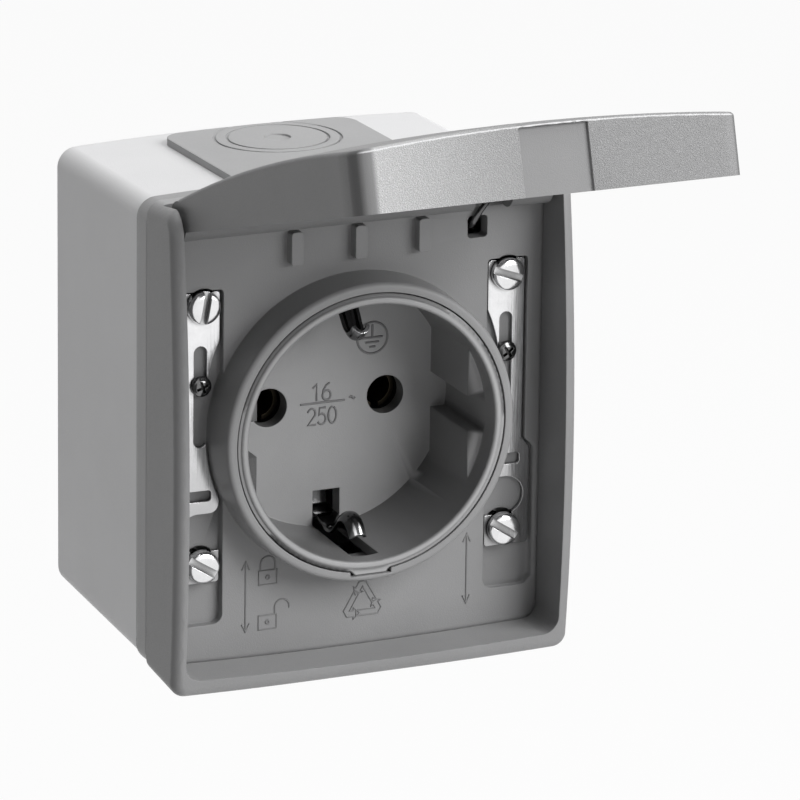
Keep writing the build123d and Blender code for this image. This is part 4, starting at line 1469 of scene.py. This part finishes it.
@dataclass
class RecessMarks(Assembly):
    """Rating and earth sign on the floor of the socket."""

    face: float = 32.7
    line: float = 0.18
    upper_number: Point3 = (-2.6, 1.0, 2.65)
    lower_number: Point3 = (-3.2, -2.7, 2.55)
    digit_step: float = 0.66
    digit_width: float = 0.92
    bar: Point3 = (-4.3, 2.9, 0.68)
    wave: Point2 = (4.15, 0.95)
    wave_size: Point2 = (0.9, 0.2)
    wave_steps: int = 12
    earth_center: Point2 = (7.3, 9.9)
    earth_radius: float = 2.45
    earth_stem: Point2 = (0.85, 0.02)
    earth_bars: tuple[Point2, ...] = ((0.68, 0.02), (0.44, -0.28), (0.2, -0.58))

    STROKES = {
        "0": [arc((0.32, 0.5), (0.27, 0.5), 90, 430, 22)],
        "1": [[(0.12, 0.76), (0.38, 1.0), (0.38, 0.0)]],
        "2": [arc((0.32, 0.71), (0.26, 0.29), 165, -32, 12) + [(0.05, 0.0), (0.6, 0.0)]],
        "5": [[(0.57, 1.0), (0.15, 1.0), (0.1, 0.56)] + arc((0.29, 0.32), (0.29, 0.32), 118, -150, 14)],
        "6": [[(0.52, 1.0), (0.28, 0.86), (0.12, 0.6)] + arc((0.33, 0.29), (0.27, 0.29), 150, 500, 18)],
    }

    def build(self) -> None:
        """Sweeps the numbers, the bar, the wave and the earth sign."""
        outlines = self._number("16", *self.upper_number) + self._number("250", *self.lower_number)
        left, right, height = self.bar
        outlines.append([(left, height), (right, height)])
        (cx, cz), (wide, tall), steps = self.wave, self.wave_size, self.wave_steps
        outlines.append([(cx + wide * (i / steps - 0.5), cz + tall * math.sin(2 * math.pi * i / steps))
                         for i in range(steps + 1)])
        self._raise("rating_mark", outlines)
        self._raise("earth_mark", self._earth())

    def _raise(self, name: str, outlines: Iterable[list[Point2]]) -> None:
        """Turns open outlines into beads on the recess floor.

        Args:
            name: Name of the piece.
            outlines: Points across and up in millimetres.
        """
        paths = [([(x, -self.face, z) for x, z in points], False) for points in outlines]
        mark = self.beads(name, paths, self.line, self.finishes.insert_mark)
        settle(mark, Body.HOUSING, Slot.INSERT)

    def _number(self, digits: str, left: float, low: float, height: float) -> list[list[Point2]]:
        """Strokes of a number.

        Args:
            digits: The digits.
            left: Where it begins.
            low: Its base line.
            height: Height of a digit.

        Returns:
            The strokes.
        """
        strokes = []
        for place, digit in enumerate(digits):
            start, width = left + height * self.digit_step * place, height * self.digit_width
            for stroke in self.STROKES[digit]:
                strokes.append([(start + width * x, low + height * z) for x, z in stroke])
        return strokes

    def _earth(self) -> list[list[Point2]]:
        """Protective earth sign in its ring.

        Returns:
            The strokes.
        """
        cx, cz = self.earth_center
        r = self.earth_radius
        strokes = [arc(self.earth_center, (r, r), 0, 360, 40)]
        strokes.append([(cx, cz + r * height) for height in self.earth_stem])
        for half, height in self.earth_bars:
            strokes.append([(cx - half * r, cz + height * r), (cx + half * r, cz + height * r)])
        return strokes


# Screws ---------------------------------------------------------------


class Drive(Enum):
    """Recess of a screw head."""

    SLOT = 1
    CROSS = 2


@dataclass
class CoverScrews(Assembly):
    """Four equal slotted screws that hold the cover, each with its own turn."""

    name: str = "cover_screw_set"
    node: str = "cover_screws"
    places: tuple[Point2, ...] = ((-24.45, 21.1), (24.45, 21.1), (-24.45, -18.9), (24.45, -18.9))
    turns: tuple[float, ...] = (80.0, -20.0, -32.0, -33.0)
    drive: Drive = Drive.SLOT
    head_radius: float = 2.5
    shank_radius: float = 1.45
    seat: float = 42.9
    head_height: float = 1.9
    head_rounding: float = 0.34
    head_foot: float = 0.08
    crown: float = 0.08
    shank_end: float = 30.2
    thread_start: float = 2.0
    thread_pitch: float = 0.8
    thread_core: float = 0.8
    thread_span: Point2 = (0.35, 0.7)
    drive_width: float = 1.15
    drive_depth: float = 0.95
    slot_reach: float = 1.5
    cross_reach: float = 0.62
    steps: int = 48

    def finish(self) -> Material:
        """Material of the screws."""
        return self.finishes.steel

    def build(self) -> None:
        """Builds one screw and sets its copies."""
        screw = self._screw()
        bm = bmesh.new()
        for x, z in self.places:
            bm.verts.new((x * MM, 0.0, z * MM))
        spots = object_from(self.name, bm)
        turn = spots.data.attributes.new("turn", "FLOAT", "POINT")
        for item, angle in zip(turn.data, self.turns):
            item.value = -math.radians(angle)
        grow(spots, self.trees.copies, {"Piece": screw, "Finish": self.finish()})
        bpy.data.objects.remove(screw)
        shade(spots, 35.0)
        settle(spots, Body.HOUSING, Slot.STEEL, self.node)

    def _screw(self) -> Object:
        """One screw on the axis, with its head towards the front.

        Returns:
            The screw.
        """
        r, shank, seat = self.head_radius, self.shank_radius, self.seat
        top = seat + self.head_height
        rounding = self.head_rounding * self.head_height
        dome = self.crown * self.head_height
        profile = [(0.0, top)]
        profile += [(r * share, top - dome * share ** 2) for share in (0.25, 0.5, 0.7)]
        profile += arc((r - rounding, top - dome - rounding), (rounding, rounding), 78, 0, 6)
        profile += [(r, seat + self.head_foot), (r - self.head_foot, seat), (shank, seat)]
        depth, pitch = seat - self.thread_start, self.thread_pitch
        root, crest = self.thread_span
        while depth - pitch > self.shank_end + shank:
            profile += [(shank, depth), (self.thread_core * shank, depth - root * pitch),
                        (shank, depth - crest * pitch)]
            depth -= pitch
        profile += [(shank, self.shank_end + shank), (0.3, self.shank_end + 0.1), (0.0, self.shank_end)]
        bm = revolved(profile, self.steps)
        bmesh.ops.remove_doubles(bm, verts=bm.verts, dist=MERGE_MM * MM / 2)
        bmesh.ops.dissolve_degenerate(bm, edges=bm.edges, dist=MERGE_MM * MM / 2)
        bmesh.ops.recalc_face_normals(bm, faces=bm.faces)
        screw = object_from("screw_pattern", bm)
        self._cut_drive(screw, top)
        return screw

    def _cut_drive(self, screw: Object, top: float) -> None:
        """Cuts the slot or the cross into the head.

        Args:
            screw: The screw.
            top: Depth of the head's highest point.
        """
        half = self.drive_width / 2
        slotted = self.drive is Drive.SLOT
        reach = self.head_radius * (self.slot_reach if slotted else self.cross_reach)
        arms = [(reach, half)] if slotted else [(reach, half), (half, reach)]
        for wide, tall in arms:
            low, high = (-wide, -top - 1.0, -tall), (wide, self.drive_depth - top, tall)
            cut_away(screw, block("drive_cutter", low, high))


@dataclass
class GuideScrews(CoverScrews):
    """Two small cross-recess screws in the slots of the sliders."""

    name: str = "guide_screw_set"
    node: str = "guide_screws"
    places: tuple[Point2, ...] = ((-24.6, 8.9), (24.6, 8.9))
    turns: tuple[float, ...] = (20.0, 35.0)
    drive: Drive = Drive.CROSS
    head_radius: float = 1.55
    shank_radius: float = 0.95
    head_height: float = 1.1
    crown: float = 0.3
    shank_end: float = 39.8
    drive_width: float = 0.42
    drive_depth: float = 0.7

    def finish(self) -> Material:
        """Material of the screws."""
        return self.finishes.dark_steel


# Lid and spring -------------------------------------------------------


@dataclass
class Lid(Assembly):
    """The lid in its open place."""

    finger_left: float = -4.9
    finger_right: float = 5.6
    finger_top: float = 7.9
    finger_foot: float = -6.0
    finger_floor: float = 68.4
    finger_reach: float = 4.0
    rounding: float = 0.25
    rounded_from: float = 50.0

    def build(self) -> None:
        """Copies the lid, cuts its finger recess crisp and softens its edges."""
        lid = copy_of_node(self.frame, "lid", "lid_shell")
        round_edges(lid, self.rounding, self.rounded_from)
        cutter = block("finger_cutter", (self.finger_left, self.finger_floor, self.finger_foot),
                       (self.finger_right, self.finger_floor + self.finger_reach, self.finger_top))
        turn = Matrix((Vector((1.0, 0.0, 0.0)), LID_RUN, LID_UP)).transposed().to_4x4()
        cutter.data.transform(Matrix.Translation(LID_HINGE) @ turn)
        if turn.determinant() < 0.0:
            cutter.data.flip_normals()
        cut_away(lid, cutter)
        self.finished(lid, Body.LID, Slot.LID, self.finishes.lid, "lid")


@dataclass
class Spring(Assembly):
    """Torsion spring wound on the hinge pin."""

    start: float = 21.7
    hinge_depth: float = 45.7
    hinge_height: float = 35.2
    radius: float = 1.75
    pitch: float = -1.05
    turns: float = 3.2028
    wire: float = 0.45
    sides: int = 14
    lid_leg: float = 5.6
    foot: tuple[Point3, ...] = (
        (18.7, -39.6, 28.5), (18.6, -41.8, 28.6), (18.45, -43.2, 29.0), (18.6, -43.95, 29.9),
        (19.5, -44.1, 31.4), (20.8, -44.1, 33.0), (21.55, -44.0, 34.3))
    steps: int = 96

    def build(self) -> None:
        """Sweeps the wire along its path."""
        spring = self.beads("lid_spring_wire", [(self._path(), False)], self.wire,
                            self.finishes.spring, self.sides)
        settle(spring, Body.HOUSING, Slot.SPRING, "lid_spring")

    def _path(self) -> list[Point3]:
        """Points of the wire, from its foot through the coil to the leg under the lid.

        Returns:
            The points in millimetres.
        """
        points = list(self.foot)
        for i in range(self.steps + 1):
            turn = self.turns * i / self.steps
            angle = 2 * math.pi * turn
            points.append((self.start + self.pitch * turn,
                           self.radius * math.cos(angle) - self.hinge_depth,
                           self.radius * math.sin(angle) + self.hinge_height))
        last, before = Vector(points[-1]), Vector(points[-2])
        end = last + (last - before).normalized() * self.lid_leg
        return points + [tuple(end)]


# Lock sliders ---------------------------------------------------------


@dataclass
class Sliders(Assembly):
    """The two plated sheets that lock the cover."""

    def build(self) -> None:
        """Restyles both sliders."""
        for node, name, body in (("left_lock_slider", "left_slider_sheet", Body.LEFT),
                                 ("right_lock_slider", "right_slider_sheet", Body.RIGHT)):
            self.restyled(node, name, body, Slot.STEEL, self.finishes.sheet)


# Socket ---------------------------------------------------------------


@dataclass
class Socket(Assembly):
    """The insert with its recess and the earth clips."""

    axis_height: float = 0.8
    rim_from: float = 43.4
    rim_radius: float = 21.0
    rim_growth: float = 0.4
    rim_blur: float = 0.02
    key_radii: Point2 = (20.7, 21.95)
    key_halves: Point2 = (3.6, 2.5)
    key_depths: Point2 = (48.1, 49.7)
    key_rounding: float = 0.25
    upper_clip: tuple[Point2, ...] = (
        (45.9, 14.55), (44.7, 13.35), (43.2, 12.75), (41.5, 13.5), (39.8, 15.4), (37.6, 17.6),
        (35.4, 18.4), (33.2, 17.9))
    lower_clip: tuple[Point2, ...] = (
        (45.7, 17.1), (44.4, 15.6), (43.2, 14.9), (41.9, 14.75), (40.4, 15.4), (38.6, 17.2),
        (36.4, 18.6), (33.2, 17.9))
    strap_bend: tuple[Point2, ...] = ((3.0, 17.9), (0.6, 17.5), (0.0, 16.6), (0.0, 8.0))
    clip_steps: int = 6
    clip_thickness: float = 0.55
    strap_half: float = 1.7
    hump_half: float = 1.5
    tip_half: float = 1.1
    dome: float = 1.15
    dome_from: float = 34.8
    dome_full: float = 38.5
    tip_depth: float = 45.9
    section_angle: float = 75.0
    strap_depth: float = 28.6

    def build(self) -> None:
        """Builds the insert and the clips."""
        self._insert()
        self._clips()

    def _insert(self) -> None:
        """Insert whose rim nearly fills the collar, with a key in the collar's notch."""
        insert = copy_of_node(self.frame, "socket_insert", "insert_body")
        for vert in insert.data.vertices:
            x, depth, z = vert.co.x / MM, -vert.co.y / MM, vert.co.z / MM - self.axis_height
            radius = math.hypot(x, z)
            if depth > self.rim_from and abs(radius - self.rim_radius) < self.rim_blur:
                share = (radius + self.rim_growth) / radius
                vert.co.x, vert.co.z = x * share * MM, (z * share + self.axis_height) * MM
        self._join(insert, self._key())
        self.finished(insert, Body.HOUSING, Slot.INSERT, self.finishes.insert, "socket_insert")

    def _key(self) -> Object:
        """Rounded key of the rim that lies in the collar's notch."""
        near, far = self.key_radii
        wide, slim = self.key_halves
        outline = [(-wide, -near), (wide, -near), (slim, -far), (-slim, -far)]
        bm = bmesh.new()
        layers = [[bm.verts.new((x * MM, -depth * MM, (z + self.axis_height) * MM)) for x, z in outline]
                  for depth in self.key_depths]
        bm.faces.new(layers[0])
        bm.faces.new(layers[1])
        for i in range(4):
            j = (i + 1) % 4
            bm.faces.new((layers[0][i], layers[0][j], layers[1][j], layers[1][i]))
        bmesh.ops.recalc_face_normals(bm, faces=bm.faces)
        key = object_from("rim_key", bm)
        round_edges(key, self.key_rounding, 40.0, 3)
        return key

    @staticmethod
    def _join(obj: Object, other: Object) -> None:
        """Adds one closed mesh to another object and removes its object."""
        bm = bmesh.new()
        bm.from_mesh(obj.data)
        bm.from_mesh(other.data)
        bm.to_mesh(obj.data)
        bm.free()
        bpy.data.objects.remove(other)

    def _clips(self) -> None:
        """One strip with a domed, tapered spring clip at each end."""
        back = [(self.strap_depth + depth, reach) for depth, reach in self.strap_bend]
        route = [Vector(spot) for spot in (*self.upper_clip, *back, (self.strap_depth, 0.0))]
        route += [Vector((depth, -reach)) for depth, reach in (*back[::-1], *self.lower_clip[::-1])]
        line = self._smooth(route, self.clip_steps)
        rings = [self._section(line, i) for i in range(len(line))]
        bm = bmesh.new()
        grid = [[bm.verts.new(point * MM) for point in ring] for ring in rings]
        for ring, following in zip(grid, grid[1:]):
            for i in range(len(ring)):
                j = (i + 1) % len(ring)
                bm.faces.new((ring[i], ring[j], following[j], following[i]))
        bm.faces.new(grid[0])
        bm.faces.new(grid[-1])
        bmesh.ops.recalc_face_normals(bm, faces=bm.faces)
        clips = object_from("earth_clips", bm)
        shade(clips, 50.0)
        wear(clips, self.finishes.clip)
        settle(clips, Body.HOUSING, Slot.BRASS, "earth_strap")

    @staticmethod
    def _smooth(route: Sequence[Vector], steps: int) -> list[Vector]:
        """Points of a soft curve through a route.

        Args:
            route: Points it passes.
            steps: Runs between two of them.

        Returns:
            The points.
        """
        ends = [2 * route[0] - route[1], *route, 2 * route[-1] - route[-2]]
        line = []
        for i in range(1, len(ends) - 2):
            a, b, c, d = ends[i - 1:i + 3]
            for step in range(steps):
                t = step / steps
                line.append(0.5 * (2 * b + (c - a) * t + (2 * a - 5 * b + 4 * c - d) * t ** 2
                                   + (3 * b - a - 3 * c + d) * t ** 3))
        return [*line, route[-1]]

    def _section(self, line: Sequence[Vector], index: int) -> list[Vector]:
        """Ring of points of the strip at one place of its line.

        Args:
            line: Depth and height above the axis of each point.
            index: Which point.

        Returns:
            The ring in millimetres, outer side first.
        """
        here = line[index]
        run = (line[min(index + 1, len(line) - 1)] - line[max(index - 1, 0)]).normalized()
        inward = Vector((-run.y, run.x))
        domed = min(1.0, max(0.0, (here.x - self.dome_from) / (self.dome_full - self.dome_from)))
        domed = domed * domed * (3.0 - 2.0 * domed)
        taper = min(1.0, max(0.0, (here.x - self.dome_full) / (self.tip_depth - self.dome_full)))
        half = self.strap_half + domed * (self.hump_half - self.strap_half)
        half += taper * (self.tip_half - self.hump_half)
        widest = math.radians(self.section_angle)
        width, sag = half / math.sin(widest), self.dome * domed / (1.0 - math.cos(widest))
        outer, inner = [], []
        for i in range(-6, 7):
            angle = widest * i / 6
            across, fall = width * math.sin(angle), -sag * (1.0 - math.cos(angle))
            slope = Vector((width * math.cos(angle), -sag * math.sin(angle)))
            side = Vector((-slope.y, slope.x)).normalized() * self.clip_thickness / 2
            for ring, sign in ((outer, 1.0), (inner, -1.0)):
                spot = here + inward * (fall + sign * side.y)
                ring.append(Vector((across + sign * side.x, -spot.x, spot.y + self.axis_height)))
        return outer + inner[::-1]


def main() -> None:
    """Builds the studio and every assembly."""
    logging.basicConfig(level=logging.INFO, format="%(message)s")
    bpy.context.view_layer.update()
    bpy.context.scene.view_settings.view_transform = "Standard"
    PhotoView().make()
    Studio().build()
    finishes, trees = Finishes(), ShapeTrees()
    order = (Housing, CoverMarks, RecessMarks, Socket, Sliders, CoverScrews, GuideScrews, Lid, Spring)
    for assembly in order:
        assembly(frame, finishes, trees).build()
        LOG.info("built %s", assembly.__name__)


if __name__ == "__main__":
    main()
